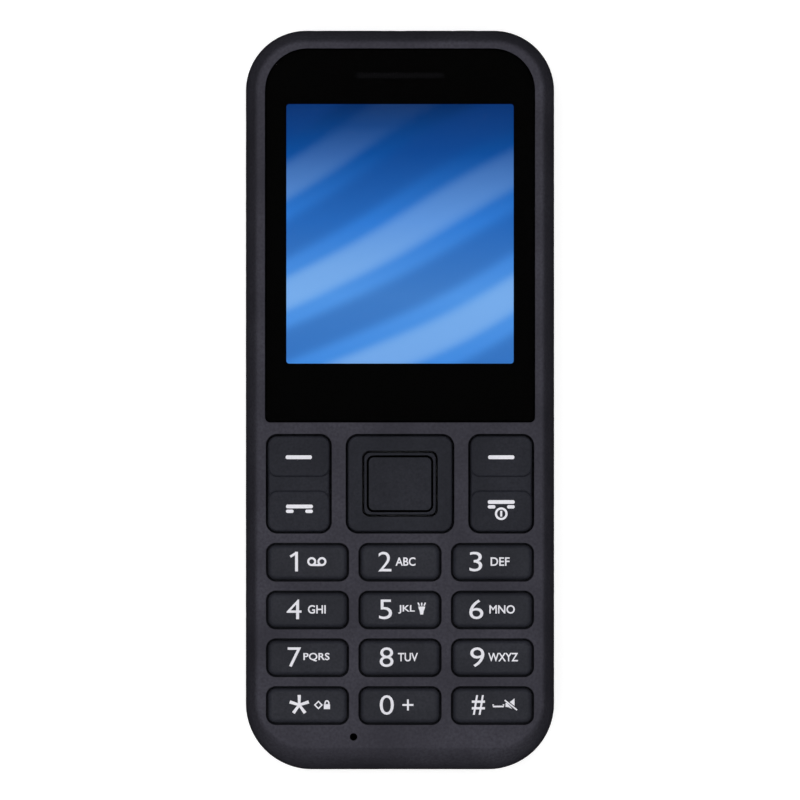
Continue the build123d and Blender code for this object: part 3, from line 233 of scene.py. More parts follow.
dress(solder_resist(), "main_board")
dress(
    metal("nickel_silver_sheet", "#B7B2A6", roughness=0.3, grain_mm=0.1, along=1),
    "baseband_shield",
    "radio_shield",
    "sim_holder",
    "card_holder",
    "vibration_motor",
)
dress(metal("phosphor_bronze_strip", "#B98A4E", roughness=0.32, grain_mm=0.1, along=1), "antenna_plate")
dress(
    moulded("epoxy_moulded_black", "#131314", "#1D1D1F", grain_mm=0.3, relief_mm=0.015, roughness=0.5),
    "battery_contacts",
    "camera_module",
    "loudspeaker",
    "earpiece_receiver",
)
dress(
    moulded("silicone_boot_black", "#101011", "#1A1A1B", grain_mm=0.4, relief_mm=0.02, roughness=0.7),
    "microphone_boot",
)
dress(
    moulded(
        "felt_black", "#010101", "#020202", grain_mm=0.3, relief_mm=0.03, roughness=0.9, specular=0.0
    ),
    "microphone",
)

# The battery is a flat cell in an aluminium can. Dark grey film, dull and a little uneven, is shrunk
# over the can.
dress(
    moulded(
        "battery_film", "#2B2C2F", "#36373B", grain_mm=0.8, relief_mm=0.03, roughness=0.5, patch_mm=14.0
    ),
    "battery",
)

# The display panel is lit from behind and shows a plain wallpaper: a blue that pales downwards, crossed
# by soft slanting bands of light. It lies in a white moulded tray, with a polyimide ribbon to the board.
WAVE_PERIOD = 0.314  # metres between the crests of a wave texture of scale 1


def lit_wallpaper():
    """Blue by height, lightened by a distorted wave along a slant; all of it is the panel's own light."""
    made, tree, output, place = new_material("display_backlit_glass")
    low, high = (np.array(corner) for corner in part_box("display_panel"))
    band_mm, slant_deg = 15.0, 62.0
    height = add(tree, "ShaderNodeSeparateXYZ", {"Vector": place}).outputs["Y"]
    share = add(
        tree,
        "ShaderNodeMapRange",
        {"Value": height, "From Min": float(low[1]), "From Max": float(high[1])},
    )
    ramp = add(tree, "ShaderNodeValToRGB", {"Fac": share.outputs[0]})
    stops = [(0.0, "#3F89E0"), (0.3, "#5095E6"), (0.56, "#2F7AD4"), (0.8, "#084C9A"), (1.0, "#002254")]
    colours = ramp.color_ramp.elements
    for end in (0, -1):
        colours[end].position, colours[end].color = stops[end][0], linear(stops[end][1])
    for position, hex_colour in stops[1:-1]:
        colours.new(position).color = linear(hex_colour)
    turned = add(
        tree, "ShaderNodeMapping", {"Vector": place, "Rotation": (0.0, 0.0, float(np.radians(slant_deg)))}
    )
    wave = add(
        tree,
        "ShaderNodeTexWave",
        {
            "Vector": turned.outputs[0],
            "Scale": WAVE_PERIOD / (band_mm * MM),
            "Distortion": 3.2,
            "Detail": 1.0,
            "Detail Scale": 0.7,
        },
        wave_profile="SIN",
    )
    crest = add(
        tree,
        "ShaderNodeMapRange",
        {"Value": wave.outputs["Fac"], "From Min": 0.58, "From Max": 1.0, "To Max": 0.36},
        interpolation_type="SMOOTHERSTEP",
    )
    trough = add(
        tree,
        "ShaderNodeMapRange",
        {"Value": wave.outputs["Fac"], "From Min": 0.0, "From Max": 0.5, "To Min": 0.4, "To Max": 0.0},
        interpolation_type="SMOOTHERSTEP",
    )
    shaded = add(
        tree,
        "ShaderNodeMix",
        {"Factor": trough.outputs[0], 6: ramp.outputs["Color"], 7: linear("#0E3E86")},
        data_type="RGBA",
    )
    fade = add(
        tree,
        "ShaderNodeMapRange",
        {"Value": share.outputs[0], "From Min": 0.4, "From Max": 0.9, "To Min": 1.0, "To Max": 0.05},
    )
    gleam = add(tree, "ShaderNodeMath", {0: crest.outputs[0], 1: fade.outputs[0]}, operation="MULTIPLY")
    lit = add(
        tree,
        "ShaderNodeMix",
        {"Factor": gleam.outputs[0], 6: shaded.outputs[2], 7: linear("#A6D2FA")},
        data_type="RGBA",
    )
    surface = add(
        tree,
        "ShaderNodeBsdfPrincipled",
        {
            "Base Color": linear("#050608"),
            "Roughness": 0.3,
            "Specular IOR Level": 0.0,
            "Emission Color": lit.outputs[2],
            "Emission Strength": 1.05,
        },
    )
    tree.links.new(surface.outputs[0], output.inputs["Surface"])
    return made


dress(lit_wallpaper(), "display_panel")
dress(
    moulded(
        "polycarbonate_white_tray", "#C9CACB", "#D8D9DA", grain_mm=0.6, relief_mm=0.01, roughness=0.55
    ),
    "display_frame",
)
dress(
    moulded("polyimide_ribbon", "#8A4E1C", "#A4622A", grain_mm=0.5, relief_mm=0.01, roughness=0.35),
    "display_flex",
)

# Under the keys lie a sheet of snap domes in pale grey polyester film and a grey silicone mat with a
# plunger over each dome.
dress(
    moulded("polyester_dome_film", "#A7A9AB", "#BFC1C2", grain_mm=0.6, relief_mm=0.01, roughness=0.4),
    "dome_sheet",
)
dress(
    moulded("silicone_mat_grey", "#4C4D50", "#5A5B5E", grain_mm=0.5, relief_mm=0.02, roughness=0.7),
    "key_mat",
)

# The front cover is moulded in one piece of dark grey ABS with a fine spark-eroded grain, which breaks
# its sheen into a soft, slightly mottled satin.
dress(
    moulded(
        "abs_grained_dark_grey",
        "#35343B",
        "#424149",
        grain_mm=0.42,
        relief_mm=0.035,
        roughness=0.58,
        specular=0.0,
    ),
    "front_cover",
)

# The display window is clear acrylic. Black ink, screened on its back face, hides everything but the
# panel's lit area, and leaves the earpiece slot open to a fine black mesh. Black foam tape holds the
# window in its recess.
PRINT_MM, PRINT_SUNK_MM = 0.02, 0.01


def rounded_loop(low, high, radii, steps=12):
    """Points round a rectangle, corner by corner from the low one: centre + radius * (cos a, sin a)."""
    x = np.array([low[0], high[0], high[0], low[0]])
    y = np.array([low[1], low[1], high[1], high[1]])
    inward = np.array([[1, 1], [-1, 1], [-1, -1], [1, -1]])
    r = np.array(radii)
    centre = np.stack([x, y], 1) + inward * r[:, None]
    angle = np.pi + np.arange(4)[:, None] * np.pi / 2 + np.linspace(0, np.pi / 2, steps)
    arc = np.stack([np.cos(angle), np.sin(angle)], 2) * r[:, None, None]
    return (centre[:, None, :] + arc).reshape(-1, 2)


def ring_solid(outer, inner, low_z, high_z):
    """A flat ring between two matched loops: the profile outer-low, outer-high, inner-high, inner-low."""
    count = len(outer)
    rows = [(outer, low_z), (outer, high_z), (inner, high_z), (inner, low_z)]
    points = np.concatenate([np.column_stack([loop, np.full(count, z)]) for loop, z in rows])
    row, place = np.meshgrid(np.arange(4), np.arange(count), indexing="ij")
    here, there = row * count, (row + 1) % 4 * count
    ahead = (place + 1) % count
    faces = np.stack([here + place, here + ahead, there + ahead, there + place], 2).reshape(-1, 4)
    return points, faces


def piece_from(name, shells, made, body):
    """One piece from closed shells of points and faces, riding on a body."""
    points = np.concatenate([shell[0] for shell in shells])
    starts = np.cumsum([0] + [len(shell[0]) for shell in shells])
    faces = [face for shell, start in zip(shells, starts) for face in (shell[1] + start).tolist()]
    mesh = bpy.data.meshes.new(name)
    mesh.from_pydata(points.tolist(), [], faces)
    mesh.validate()
    mesh.materials.append(made)
    piece = bpy.data.objects.new(name, mesh)
    bpy.context.scene.collection.objects.link(piece)
    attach(piece, body)
    return piece


window_low, window_high = (np.array(corner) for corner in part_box("display_window"))
panel_low, panel_high = (np.array(corner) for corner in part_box("display_panel"))
slot_low, slot_high = (np.array(corner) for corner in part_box("earpiece_mesh"))
MESH_BORDER_MM, PANEL_SIDE_MM, PANEL_TOP_MM, PANEL_FOOT_MM = 0.6, 1.1, 1.1, 2.6
lit_low = panel_low[:2] + np.array([PANEL_SIDE_MM, PANEL_FOOT_MM]) * MM
lit_high = panel_high[:2] - np.array([PANEL_SIDE_MM, PANEL_TOP_MM]) * MM
ear_low, ear_high = slot_low[:2] + MESH_BORDER_MM * MM, slot_high[:2] - MESH_BORDER_MM * MM
EDGE_MM, TOP_CORNER_MM, FOOT_CORNER_MM, LIT_CORNER_MM, SEAM_MM = 0.05, 6.05, 0.65, 0.4, 0.02
SEAM_LAP_MM, SEAM_STEP_MM, EAR_ROUND = 0.1, 0.004, 0.98
seam_y = (lit_high[1] + ear_low[1]) / 2
print_low, print_high = window_low[:2] + EDGE_MM * MM, window_high[:2] - EDGE_MM * MM
print_z = window_low[2] + PRINT_SUNK_MM * MM
seam_step = SEAM_STEP_MM * MM
ear_r = (ear_high[1] - ear_low[1]) / 2 * EAR_ROUND
foot_r, top_r, lit_r, seam_r = np.array([FOOT_CORNER_MM, TOP_CORNER_MM, LIT_CORNER_MM, SEAM_MM]) * MM
# One ring of ink goes round the lit area and one round the slot, and they lap where they meet.
shells = [
    ring_solid(
        rounded_loop(print_low, (print_high[0], seam_y), (foot_r, foot_r, seam_r, seam_r)),
        rounded_loop(lit_low, lit_high, (lit_r,) * 4),
        print_z,
        print_z + PRINT_MM * MM,
    ),
    ring_solid(
        rounded_loop(
            (print_low[0] + seam_step, seam_y - SEAM_LAP_MM * MM),
            print_high - seam_step,
            (seam_r, seam_r, top_r, top_r),
        ),
        rounded_loop(ear_low, ear_high, (ear_r,) * 4),
        print_z + seam_step,
        print_z + seam_step + PRINT_MM * MM,
    ),
]
# Black ink also covers the window's rounded edge and the gap round it: painted shade over the edge glint.
BEVEL_MM, BEVEL_LAP_MM, BEVEL_DEEP_MM, BEVEL_PROUD_MM = 0.19, 0.03, 0.3, 0.002
edge_shade_loops = [
    rounded_loop(print_low + inset, print_high - inset, np.array([foot_r, foot_r, top_r, top_r]) - inset)
    for inset in (-(EDGE_MM + BEVEL_LAP_MM) * MM, (BEVEL_MM - EDGE_MM) * MM)
]
shells.append(
    ring_solid(*edge_shade_loops, window_high[2] - BEVEL_DEEP_MM * MM, window_high[2] + BEVEL_PROUD_MM * MM)
)
# The ink is bonded to the acrylic, so it has no sheen of its own.
black_ink = moulded(
    "screen_ink_black", "#010101", "#020202", grain_mm=0.5, relief_mm=0.002, roughness=0.6, specular=0.0
)
# The piece holds the real print and the painted shade over the window's edge.
piece_from("window_print_and_edge_shade", shells, black_ink, "phone")


def clear_plastic(name, hex_colour, ior, roughness):
    """Clear moulding with a very fine ripple, so that reflections bend a little as on pressed sheet."""
    made, tree, output, place = new_material(name)
    ripple_mm, relief_mm = 18.0, 0.05
    ripple = add(
        tree, "ShaderNodeTexNoise", {"Vector": place, "Scale": 1 / (ripple_mm * MM), "Detail": 0.0}
    )
    bump = add(
        tree,
        "ShaderNodeBump",
        {"Height": ripple.outputs["Fac"], "Strength": 0.1, "Distance": relief_mm * MM},
    )
    surface = add(
        tree,
        "ShaderNodeBsdfPrincipled",
        {
            "Base Color": linear(hex_colour),
            "Roughness": roughness,
            "IOR": ior,
            "Transmission Weight": 1.0,
            "Normal": bump.outputs[0],
        },
    )
    tree.links.new(surface.outputs[0], output.inputs["Surface"])
    return made


ACRYLIC_IOR = 1.49
dress(clear_plastic("acrylic_window", "#FFFFFF", ACRYLIC_IOR, roughness=0.0), "display_window")
dress(
    moulded("adhesive_foam_black", "#050505", "#090909", grain_mm=0.3, relief_mm=0.01, roughness=0.8),
    "window_tape",
)


def woven_mesh():
    """Fine woven mesh: two crossed sine bands, drawn at a quarter millimetre so that they show."""
    made, tree, output, place = new_material("polyester_mesh_black")
    thread_mm, relief_mm = 0.25, 0.05
    bands = [
        add(
            tree,
            "ShaderNodeTexWave",
            {"Vector": place, "Scale": WAVE_PERIOD / (thread_mm * MM)},
            bands_direction=direction,
        ).outputs["Fac"]
        for direction in ("X", "Y")
    ]
    crossed = add(tree, "ShaderNodeMath", {0: bands[0], 1: bands[1]}, operation="MAXIMUM")
    # Between the threads the colour is darker: painted shade for the holes in the weave.
    colour = add(
        tree,
        "ShaderNodeMix",
        {"Factor": crossed.outputs[0], 6: linear("#020202"), 7: linear("#0E0E10")},
        data_type="RGBA",
    )
    bump = add(
        tree, "ShaderNodeBump", {"Height": crossed.outputs[0], "Strength": 0.6, "Distance": relief_mm * MM}
    )
    surface = add(
        tree,
        "ShaderNodeBsdfPrincipled",
        {
            "Base Color": colour.outputs[2],
            "Roughness": 0.6,
            "Specular IOR Level": 0.02,
            "Normal": bump.outputs[0],
        },
    )
    tree.links.new(surface.outputs[0], output.inputs["Surface"])
    return made


dress(woven_mesh(), "earpiece_mesh")

# The keys are moulded in black-grey ABS, a little darker and smoother than the cover round them.
# The navigation ring and the select key between the two rockers carry no legend.
key_finish = {"grain_mm": 0.35, "relief_mm": 0.02, "roughness": 0.5}
number_plastic = moulded("abs_number_key", "#222329", "#2C2D34", **key_finish, specular=0.07)
cluster_plastic = moulded("abs_function_key", "#1F2026", "#282930", **key_finish, specular=0.05)
NUMBER_KEYS = ("1", "2", "3", "4", "5", "6", "7", "8", "9", "star", "0", "hash")
dress(number_plastic, *[f"key_{key}" for key in NUMBER_KEYS])
dress(cluster_plastic, "left_rocker_key", "right_rocker_key")
dress(cluster_plastic, "navigation_base", "navigation_ring", "select_key")

# The groove moulded round the select key's face is darkened with painted shade: a thin black ring
# on the groove's floor, with a little play to either wall, stands in for the shade of a deep gap.
SELECT_RIM_MM, GROOVE_MM, GROOVE_DEEP_MM, SELECT_FACE_R_MM, GROOVE_PLAY_MM = 0.35, 0.34, 0.3, 0.7, 0.02
select_low, select_high = (np.array(corner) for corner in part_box("select_key"))
groove_z = select_high[2] - GROOVE_DEEP_MM * MM
groove_loops = [
    rounded_loop(select_low[:2] + inset * MM, select_high[:2] - inset * MM, (radius * MM,) * 4)
    for inset, radius in (
        (SELECT_RIM_MM + GROOVE_PLAY_MM, SELECT_FACE_R_MM + GROOVE_MM - GROOVE_PLAY_MM),
        (SELECT_RIM_MM + GROOVE_MM - GROOVE_PLAY_MM, SELECT_FACE_R_MM + GROOVE_PLAY_MM),
    )
]
# The ring on the groove's floor is painted shade.
groove_shade = ring_solid(*groove_loops, groove_z - PRINT_SUNK_MM * MM, groove_z + PRINT_MM * MM)
piece_from("select_groove_painted_shade", [groove_shade], black_ink, "select")

# The legends are pad-printed in off-white ink that stands a hair proud of each key: digits, the usual
# letter groups and plain icons. Sizes and places are millimetres from the key's middle.
INK_HIGH_MM, INK_SUNK_MM, INK_STEP_MM = 0.015, 0.01, 0.003
DIGIT_MM, LETTER_MM, CAP_SHARE, LEGEND_UP_MM = 2.85, 1.24, 0.7, 0.1
DIGIT_BOLD_MM, LETTER_BOLD_MM, HASH_BOLD_MM, BAR_CUT_MM = -0.012, 0.03, 0.035, 0.15


def lettering(words, width, height, bold, x):
    """The built-in font's outline as flat triangles, thickened and stretched to fill a box about (x, 0)."""
    curve = bpy.data.curves.new("lettering", "FONT")
    curve.body = words
    curve.offset = bold / height * CAP_SHARE * curve.size
    curve.resolution_u = 4
    source = bpy.data.objects.new("lettering", curve)
    mesh = bpy.data.meshes.new_from_object(source)
    mesh.calc_loop_triangles()
    points = np.empty(len(mesh.vertices) * 3)
    mesh.vertices.foreach_get("co", points)
    faces = np.empty(len(mesh.loop_triangles) * 3, dtype=np.int64)
    mesh.loop_triangles.foreach_get("vertices", faces)
    bpy.data.objects.remove(source)
    bpy.data.meshes.remove(mesh)
    points = points.reshape(-1, 3)[:, :2]
    low, high = points.min(0), points.max(0)
    fitted = (points - (low + high) / 2) / (high - low) * (width, height)
    return fitted + (x, 0.0), faces.reshape(-1, 3)


def digit(words, width, x):
    """One figure, stretched to its width and to the height of all figures."""
    return lettering(words, width, DIGIT_MM, DIGIT_BOLD_MM, x)


def letters(words, width, x):
    """A group of letters, stretched to its width and to the height of all letters."""
    return lettering(words, width, LETTER_MM, LETTER_BOLD_MM, x)


def stroke(path, width, closed=False):
    """A flat ribbon along a path: each point moves half the width to either side, square to the path."""
    path = np.array(path, dtype=float)
    if closed:
        along = np.roll(path, -1, 0) - np.roll(path, 1, 0)
    else:
        along = np.gradient(path, axis=0)
    along /= np.linalg.norm(along, axis=1, keepdims=True)
    side = np.column_stack([-along[:, 1], along[:, 0]]) * np.reshape(width, (-1, 1)) / 2
    count = len(path)
    here = np.arange(count if closed else count - 1)
    ahead = (here + 1) % count
    halves = [
        np.column_stack([here + count, ahead + count, ahead]),
        np.column_stack([here + count, ahead, here]),
    ]
    return np.concatenate([path + side, path - side]), np.concatenate(halves)


def loop(radius, x=0.0, y=0.0, width=0.3, steps=32):
    """A ring: a closed stroke round a circle."""
    angle = np.arange(steps) * 2 * np.pi / steps
    return stroke(np.column_stack([x + radius * np.cos(angle), y + radius * np.sin(angle)]), width, True)


def bar(x0, y0, x1, y1, width):
    """A straight stroke from one point to another."""
    return stroke([(x0, y0), (x1, y1)], width)


def blunt_bar(x0, x1, y, width):
    """A level bar with its four corners cut, as a pad prints them."""
    path = [(x0, y), (x0 + BAR_CUT_MM, y), (x1 - BAR_CUT_MM, y), (x1, y)]
    end = width - 2 * BAR_CUT_MM
    return stroke(path, (end, width, width, end))


def filled(*corners):
    """A convex outline, counterclockwise, as triangles that fan out from its first corner."""
    second = np.arange(1, len(corners) - 1)
    return np.array(corners), np.column_stack([np.zeros_like(second), second, second + 1])


def legend_solid(flats, x, y, top_z):
    """Flat triangles made a thin closed print: a top, a bottom, and walls along each open edge.

    Each further stroke lies one step higher and starts one step lower, so that none share a plane.
    """
    points = np.concatenate([flat[0] for flat in flats]) * MM + (x, y)
    starts = np.cumsum([0] + [len(flat[0]) for flat in flats])
    top = np.concatenate([flat[1] + start for flat, start in zip(flats, starts)])
    count = len(points)
    a, b = top[:, [0, 1, 2]].ravel(), top[:, [1, 2, 0]].ravel()
    open_edge = ~np.isin(a * count + b, b * count + a)
    a, b = a[open_edge], b[open_edge]
    walls = [np.column_stack([a, a + count, b]), np.column_stack([b, a + count, b + count])]
    step = np.repeat(np.arange(len(flats)), [len(flat[0]) for flat in flats]) * INK_STEP_MM
    rises = (INK_HIGH_MM + step, -INK_SUNK_MM - step)
    levels = [np.column_stack([points, top_z + rise * MM]) for rise in rises]
    return np.concatenate(levels), np.concatenate([top, top[:, ::-1] + count, *walls])


def figure_one(x):
    """An upright with a slanting flag."""
    high, stem_x, flag_x = DIGIT_MM / 2, x + 0.3, x - 0.6
    return [
        bar(stem_x, -high, stem_x, high, width=0.42),
        bar(flag_x, high - 0.72, stem_x, high - 0.16, width=0.34),
    ]


def star_arms(size, width, x):
    """Five spokes a fifth of a turn apart, each a quarter narrower at the middle."""
    angle = np.pi / 2 + np.arange(5) * 2 * np.pi / 5
    tip = np.column_stack([x + np.cos(angle) * size / 2, np.sin(angle) * size / 2])
    return [stroke([(x, 0.0), end], (width * 0.75, width)) for end in tip]


def voicemail(x):
    """Two reels with the tape along their foot."""
    reel, apart, line = 0.5, 0.74, 0.3
    reels = [loop(reel, x + side * apart, 0.0, line) for side in (-1, 1)]
    return reels + [bar(x - apart, -reel, x + apart, -reel, line)]


def torch(x):
    """A torch that points up: a tapered head and handle under three short rays."""
    heights, widths = (0.42, 0.07, -0.2, -0.75), (1.0, 0.86, 0.6, 0.42)
    ray_low, ray_high, ray_apart, ray_fan = 0.54, 0.98, 0.34, 1.6
    rays = [
        bar(x + side * ray_apart, ray_low, x + side * ray_apart * ray_fan, ray_high, width=0.2)
        for side in (-1, 0, 1)
    ]
    return [stroke([(x, height) for height in heights], widths), *rays]


def diamond_and_lock(x):
    """A ring of four corners, then a padlock: a block under a stroke along half an ellipse."""
    diamond_x, lock_x = x - 0.62, x + 0.62
    angle = np.linspace(0, np.pi, 13)
    shackle = np.column_stack([lock_x + 0.29 * np.cos(angle), 0.15 + 0.45 * np.sin(angle)])
    return [
        loop(0.52, diamond_x, 0.0, width=0.26, steps=4),
        bar(lock_x, 0.12, lock_x, -0.6, width=0.9),
        stroke(shackle, width=0.22),
    ]


def plus(x):
    """Two bars that cross at their middles."""
    half, line = 0.8, 0.27
    return [bar(x - half, 0, x + half, 0, line), bar(x, -half, x, half, line)]


def space_and_mute(x):
    """A space bracket, then a loudspeaker struck through."""
    left, right, tip, foot = x - 1.65, x - 0.15, 0.1, -0.22
    return [
        stroke([(left, tip), (left, foot), (right, foot), (right, tip)], width=0.24),
        filled((x + 0.75, 0.42), (x + 1.45, -0.14), (x + 1.45, 0.95)),
        filled((x + 0.15, -0.3), (x + 0.55, -0.3), (x + 1.18, -0.62), (x + 0.36, 0.3), (x + 0.15, 0.3)),
        bar(x + 0.02, 0.7, x + 1.82, -0.74, width=0.2),
    ]


def handset(x, y):
    """A receiver: a long bar over two short feet."""
    half, foot, drop = 1.95, 1.1, 0.7
    return [
        blunt_bar(x - half, x + half, y, width=0.54),
        *[blunt_bar(start, start + foot, y - drop, width=0.5) for start in (x - half, x + half - foot)],
    ]


def power(y):
    """A short upright in a ring."""
    radius, half = 0.76, 0.42
    return [loop(radius, 0.0, y, width=0.32), bar(0.0, y + half, 0.0, y - half, width=0.3)]


LEGENDS = {
    "1": figure_one(-1.9) + voicemail(1.35),
    "2": [digit("2", 1.9, -2.2), letters("ABC", 2.9, 0.8)],
    "3": [digit("3", 1.85, -2.42), letters("DEF", 2.75, 1.1)],
    "4": [digit("4", 2.15, -1.95), letters("GHI", 2.6, 1.35)],
    "5": [digit("5", 1.9, -2.1), letters("JKL", 2.4, 0.95)] + torch(3.15),
    "6": [digit("6", 2.05, -2.35), letters("MNO", 3.7, 1.4)],
    "7": [digit("7", 1.95, -1.9), letters("PQRS", 3.8, 1.3)],
    "8": [digit("8", 2.0, -1.95), letters("TUV", 2.9, 1.15)],
    "9": [digit("9", 2.05, -2.2), letters("WXYZ", 4.35, 1.55)],
    "star": star_arms(2.9, 0.48, -1.2) + diamond_and_lock(2.2),
    "0": [digit("0", 2.05, -1.92)] + plus(1.15),
    "hash": [lettering("#", 1.9, DIGIT_MM, HASH_BOLD_MM, -2.05)] + space_and_mute(1.75),
}
legend_ink = moulded(
    "pad_print_white", "#D6D5DC", "#E4E3EA", grain_mm=0.3, relief_mm=0.003, roughness=0.55
)
for key, flats in LEGENDS.items():
    low, high = (np.array(corner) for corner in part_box(f"key_{key}"))
    middle = (low + high) / 2
    shell = legend_solid(flats, middle[0], middle[1] + LEGEND_UP_MM * MM, high[2])
    piece_from(f"legend_{key}", [shell], legend_ink, f"key_{key}_cap")

SOFT_KEY_Y, SOFT_KEY_HALF_MM, CALL_Y, END_Y, POWER_Y = 3.85, 1.9, -3.3, -2.65, -4.35
soft_key = blunt_bar(-SOFT_KEY_HALF_MM, SOFT_KEY_HALF_MM, SOFT_KEY_Y, width=0.56)
ROCKER_LEGENDS = {
    "left": [soft_key] + handset(0.1, CALL_Y),
    "right": [soft_key] + handset(0.0, END_Y) + power(POWER_Y),
}
for side, flats in ROCKER_LEGENDS.items():
    low, high = (np.array(corner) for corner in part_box(f"{side}_rocker_key"))
    middle = (low + high) / 2
    shell = legend_solid(flats, middle[0], middle[1], high[2])
    piece_from(f"legend_{side}_rocker", [shell], legend_ink, f"{side}_rocker")

# The battery cover is moulded in a darker ABS with a coarser grain. The camera looks out through a
# round acrylic window with a black printed border, and sound leaves through slots.
dress(
    moulded(
        "abs_cover_grained",
        "#232327",
        "#2E2E33",
        grain_mm=0.55,
        relief_mm=0.05,
        roughness=0.58,
        specular=0.03,
    ),
    "rear_cover",
)
dress(clear_plastic("camera_window_acrylic", "#F4F5F7", ACRYLIC_IOR, roughness=0.0), "camera_window")
eye_low, eye_high = (np.array(corner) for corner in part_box("camera_window"))
eye_middle = (eye_low + eye_high) / 2
EYE_CLEAR_MM = 1.7


def circle(radius, steps=48):
    """Points round the camera window's middle: radius * (cos a, sin a)."""
    angle = np.arange(steps) * 2 * np.pi / steps
    return eye_middle[:2] + radius * np.column_stack([np.cos(angle), np.sin(angle)])


border_z = eye_high[2] - (PRINT_MM + PRINT_SUNK_MM) * MM
border_r = (eye_high[0] - eye_low[0]) / 2 - EDGE_MM * MM
border = ring_solid(circle(border_r), circle(EYE_CLEAR_MM * MM), border_z, border_z + PRINT_MM * MM)
piece_from("camera_print", [border], black_ink, "battery_cover")

# The charging socket is folded from tinned steel round a tongue of black nylon, and the headphone
# socket is moulded in the same nylon. The torch shines through a clear plug from a yellow phosphor LED.
TONGUE_HALF_WIDE_MM, TONGUE_HALF_HIGH_MM = 2.2, 0.4


def tongued_steel():
    """Tinned steel that turns to black nylon where |x| and |z| from its middle lie within the tongue."""
    tin = "#C6C7C9"
    made = metal("tinned_steel_shell", tin, roughness=0.28, grain_mm=0.06, along=1)
    tree = made.node_tree
    low, high = (np.array(corner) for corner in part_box("micro_usb_socket"))
    place = add(tree, "ShaderNodeTexCoord").outputs["Object"]
    offset = add(
        tree, "ShaderNodeVectorMath", {0: place, 1: ((low + high) / 2).tolist()}, operation="SUBTRACT"
    )
    reach = add(tree, "ShaderNodeVectorMath", {0: offset.outputs[0]}, operation="ABSOLUTE")
    away = add(tree, "ShaderNodeSeparateXYZ", {0: reach.outputs[0]})
    wide = add(
        tree, "ShaderNodeMath", {0: away.outputs["X"], 1: TONGUE_HALF_WIDE_MM * MM}, operation="LESS_THAN"
    )
    thick = add(
        tree, "ShaderNodeMath", {0: away.outputs["Z"], 1: TONGUE_HALF_HIGH_MM * MM}, operation="LESS_THAN"
    )
    tongue = add(tree, "ShaderNodeMath", {0: wide.outputs[0], 1: thick.outputs[0]}, operation="MULTIPLY")
    bare = add(tree, "ShaderNodeMath", {0: 1.0, 1: tongue.outputs[0]}, operation="SUBTRACT")
    colour = add(
        tree,
        "ShaderNodeMix",
        {"Factor": tongue.outputs[0], 6: linear(tin), 7: linear("#101012")},
        data_type="RGBA",
    )
    surface = tree.nodes["Principled BSDF"]
    tree.links.new(colour.outputs[2], surface.inputs["Base Color"])
    tree.links.new(bare.outputs[0], surface.inputs["Metallic"])
    return made


dress(tongued_steel(), "micro_usb_socket")
dress(
    moulded("nylon_socket_black", "#101012", "#1A1A1C", grain_mm=0.3, relief_mm=0.01, roughness=0.45),
    "headphone_jack",
)
dress(clear_plastic("torch_plug_clear", "#FFFFFF", ACRYLIC_IOR, roughness=0.08), "torch_lens")
dress(
    moulded("led_phosphor_yellow", "#D8C04A", "#E6D067", grain_mm=0.3, relief_mm=0.01, roughness=0.4),
    "torch_led",
)

# The phone lies on a white sweep. The sweep takes the phone's shadow but throws none itself, and it is
# clear from below, so that a lamp under it lights the back.


def sweep_white():
    """White where it is seen, with the phone's shadow on it, and grey to the light that it gives back."""
    made, tree, output, _ = new_material("paper_sweep_white")
    path = add(tree, "ShaderNodeLightPath")
    seen = path.outputs["Is Camera Ray"]
    for other in ("Is Glossy Ray", "Is Transmission Ray"):
        either = add(tree, "ShaderNodeMath", {0: seen, 1: path.outputs[other]}, operation="MAXIMUM")
        seen = either.outputs[0]
    back = add(tree, "ShaderNodeBsdfDiffuse", {"Color": linear("#404040")})
    paper = add(tree, "ShaderNodeBsdfDiffuse", {"Color": linear("#B4B4B4")})
    glow = add(tree, "ShaderNodeEmission", {"Color": linear("#FFFFFF"), "Strength": 0.74})
    white = add(tree, "ShaderNodeAddShader", {0: paper.outputs[0], 1: glow.outputs[0]})
    front = add(tree, "ShaderNodeMixShader", {0: seen, 1: back.outputs[0], 2: white.outputs[0]})
    under = add(tree, "ShaderNodeNewGeometry").outputs["Backfacing"]
    clear = add(tree, "ShaderNodeBsdfTransparent")
    both = add(tree, "ShaderNodeMixShader", {0: under, 1: front.outputs[0], 2: clear.outputs[0]})
    tree.links.new(both.outputs[0], output.inputs["Surface"])
    return made


FLOOR_HALF, FLOOR_DROP = 1.5, 0.02 * MM
floor_mesh = bpy.data.meshes.new("floor")
corners = [(-1, -1), (1, -1), (1, 1), (-1, 1)]
floor_points = [(x * FLOOR_HALF, y * FLOOR_HALF, -FLOOR_DROP) for x, y in corners]
floor_mesh.from_pydata(floor_points, [], [(0, 1, 2, 3)])
floor_mesh.materials.append(sweep_white())
floor = bpy.data.objects.new("floor", floor_mesh)
bpy.context.scene.collection.objects.link(floor)
floor.visible_shadow = False

# The room gives a little even light, and is white where the camera sees it. In mirrored and refracted
# rays it is white only low down, so that the window mirrors a dark ceiling.
world = bpy.data.worlds.new("studio")
bpy.context.scene.world = world
world.use_nodes = True
sky = world.node_tree
sky.nodes.clear()
direction = add(sky, "ShaderNodeTexCoord").outputs["Generated"]
height = add(sky, "ShaderNodeSeparateXYZ", {"Vector": direction}).outputs["Z"]
level = add(
    sky,
    "ShaderNodeMapRange",
    {"Value": height, "From Min": -0.4, "From Max": 0.05, "To Min": 0.04, "To Max": 0.03},
)
room = add(sky, "ShaderNodeBackground", {"Color": linear("#FFFFFF"), "Strength": level.outputs[0]})
plain = add(sky, "ShaderNodeBackground", {"Color": linear("#FFFFFF"), "Strength": 1.0})
path = add(sky, "ShaderNodeLightPath").outputs
backdrop = add(
    sky,
    "ShaderNodeMapRange",
    {"Value": height, "From Min": 0.05, "From Max": 0.25, "To Min": 1.0, "To Max": 0.0},
)
mirrored = add(
    sky,
    "ShaderNodeMath",
    {0: path["Is Glossy Ray"], 1: path["Is Transmission Ray"]},
    operation="MAXIMUM",
)
low_mirrored = add(
    sky, "ShaderNodeMath", {0: mirrored.outputs[0], 1: backdrop.outputs[0]}, operation="MULTIPLY"
)
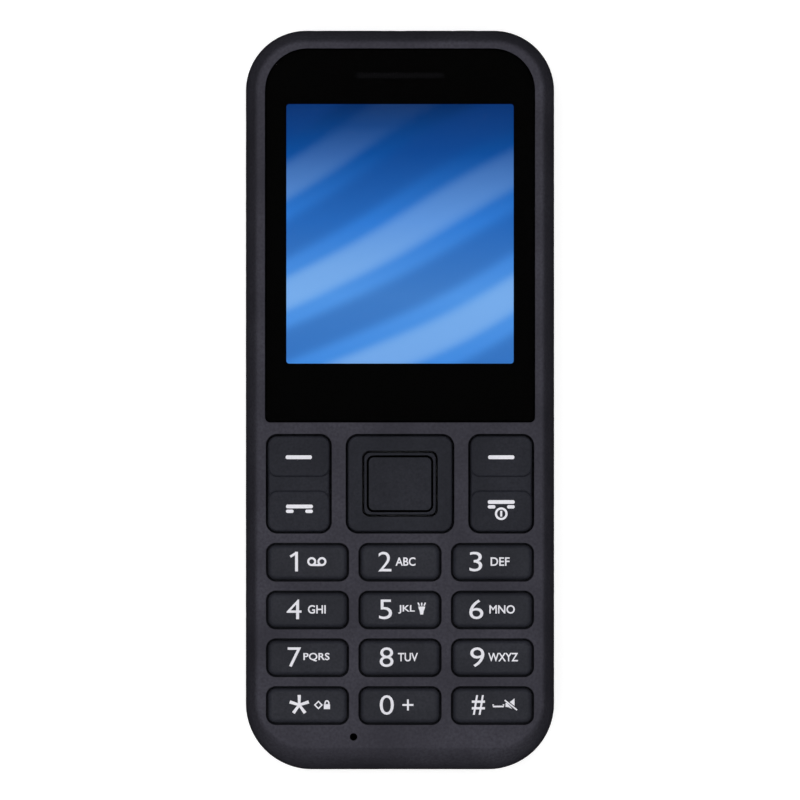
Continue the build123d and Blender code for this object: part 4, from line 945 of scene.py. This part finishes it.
seen = add(
    sky, "ShaderNodeMath", {0: path["Is Camera Ray"], 1: low_mirrored.outputs[0]}, operation="MAXIMUM"
)
mixed = add(sky, "ShaderNodeMixShader", {0: seen.outputs[0], 1: room.outputs[0], 2: plain.outputs[0]})
add(sky, "ShaderNodeOutputWorld", {"Surface": mixed.outputs[0]})

# Six softboxes stand in a ring about the camera, so that the flat window mirrors only the dark space
# between them, and a light table of the same size shines up from below.
LAMP_RANGE, LAMP_TILT_DEG, LAMP_SIZE, TABLE_WATTS = 0.7, 24.0, 0.24, 3.0
SOFTBOX_WATTS = {60: 0.8, 120: 0.96, 180: 0.96, 240: 0.896, 300: 0.768, 0: 0.768}


def area_lamp(name, watts, place, turned):
    """A square lamp at a place in metres, turned from shining straight down."""
    light = bpy.data.lights.new(name, "AREA")
    light.energy = watts
    light.size = LAMP_SIZE
    lamp = bpy.data.objects.new(name, light)
    lamp.location = place
    lamp.rotation_euler = turned
    bpy.context.scene.collection.objects.link(lamp)
    return lamp


for turn_deg, watts in SOFTBOX_WATTS.items():
    turn, tilt = np.radians(turn_deg), np.radians(LAMP_TILT_DEG)
    reach = np.array([np.sin(tilt) * np.cos(turn), np.sin(tilt) * np.sin(turn), np.cos(tilt)])
    area_lamp(f"softbox_{turn_deg}", watts, reach * LAMP_RANGE, (0.0, tilt, turn))
light_table = area_lamp("light_table", TABLE_WATTS, (0.0, 0.0, -LAMP_RANGE), (np.pi, 0.0, 0.0))
light_table.visible_camera = False

# The camera looks straight down on the display. The picture spans FRAME_WIDE_MM at the height of
# WIDEST_MM, where the phone is widest.
FRAME_WIDE_MM, WIDEST_MM, CAMERA_UP = 116.8, 6.0, 1.25
camera_data = bpy.data.cameras.new("camera")
camera_data.sensor_width = 36.0
camera_data.lens = camera_data.sensor_width * CAMERA_UP / (FRAME_WIDE_MM * MM)
camera = bpy.data.objects.new("camera", camera_data)
camera.location = (0.0, 0.0, CAMERA_UP + WIDEST_MM * MM)
bpy.context.scene.collection.objects.link(camera)
bpy.context.scene.camera = camera
bpy.context.scene.view_settings.view_transform = "Standard"
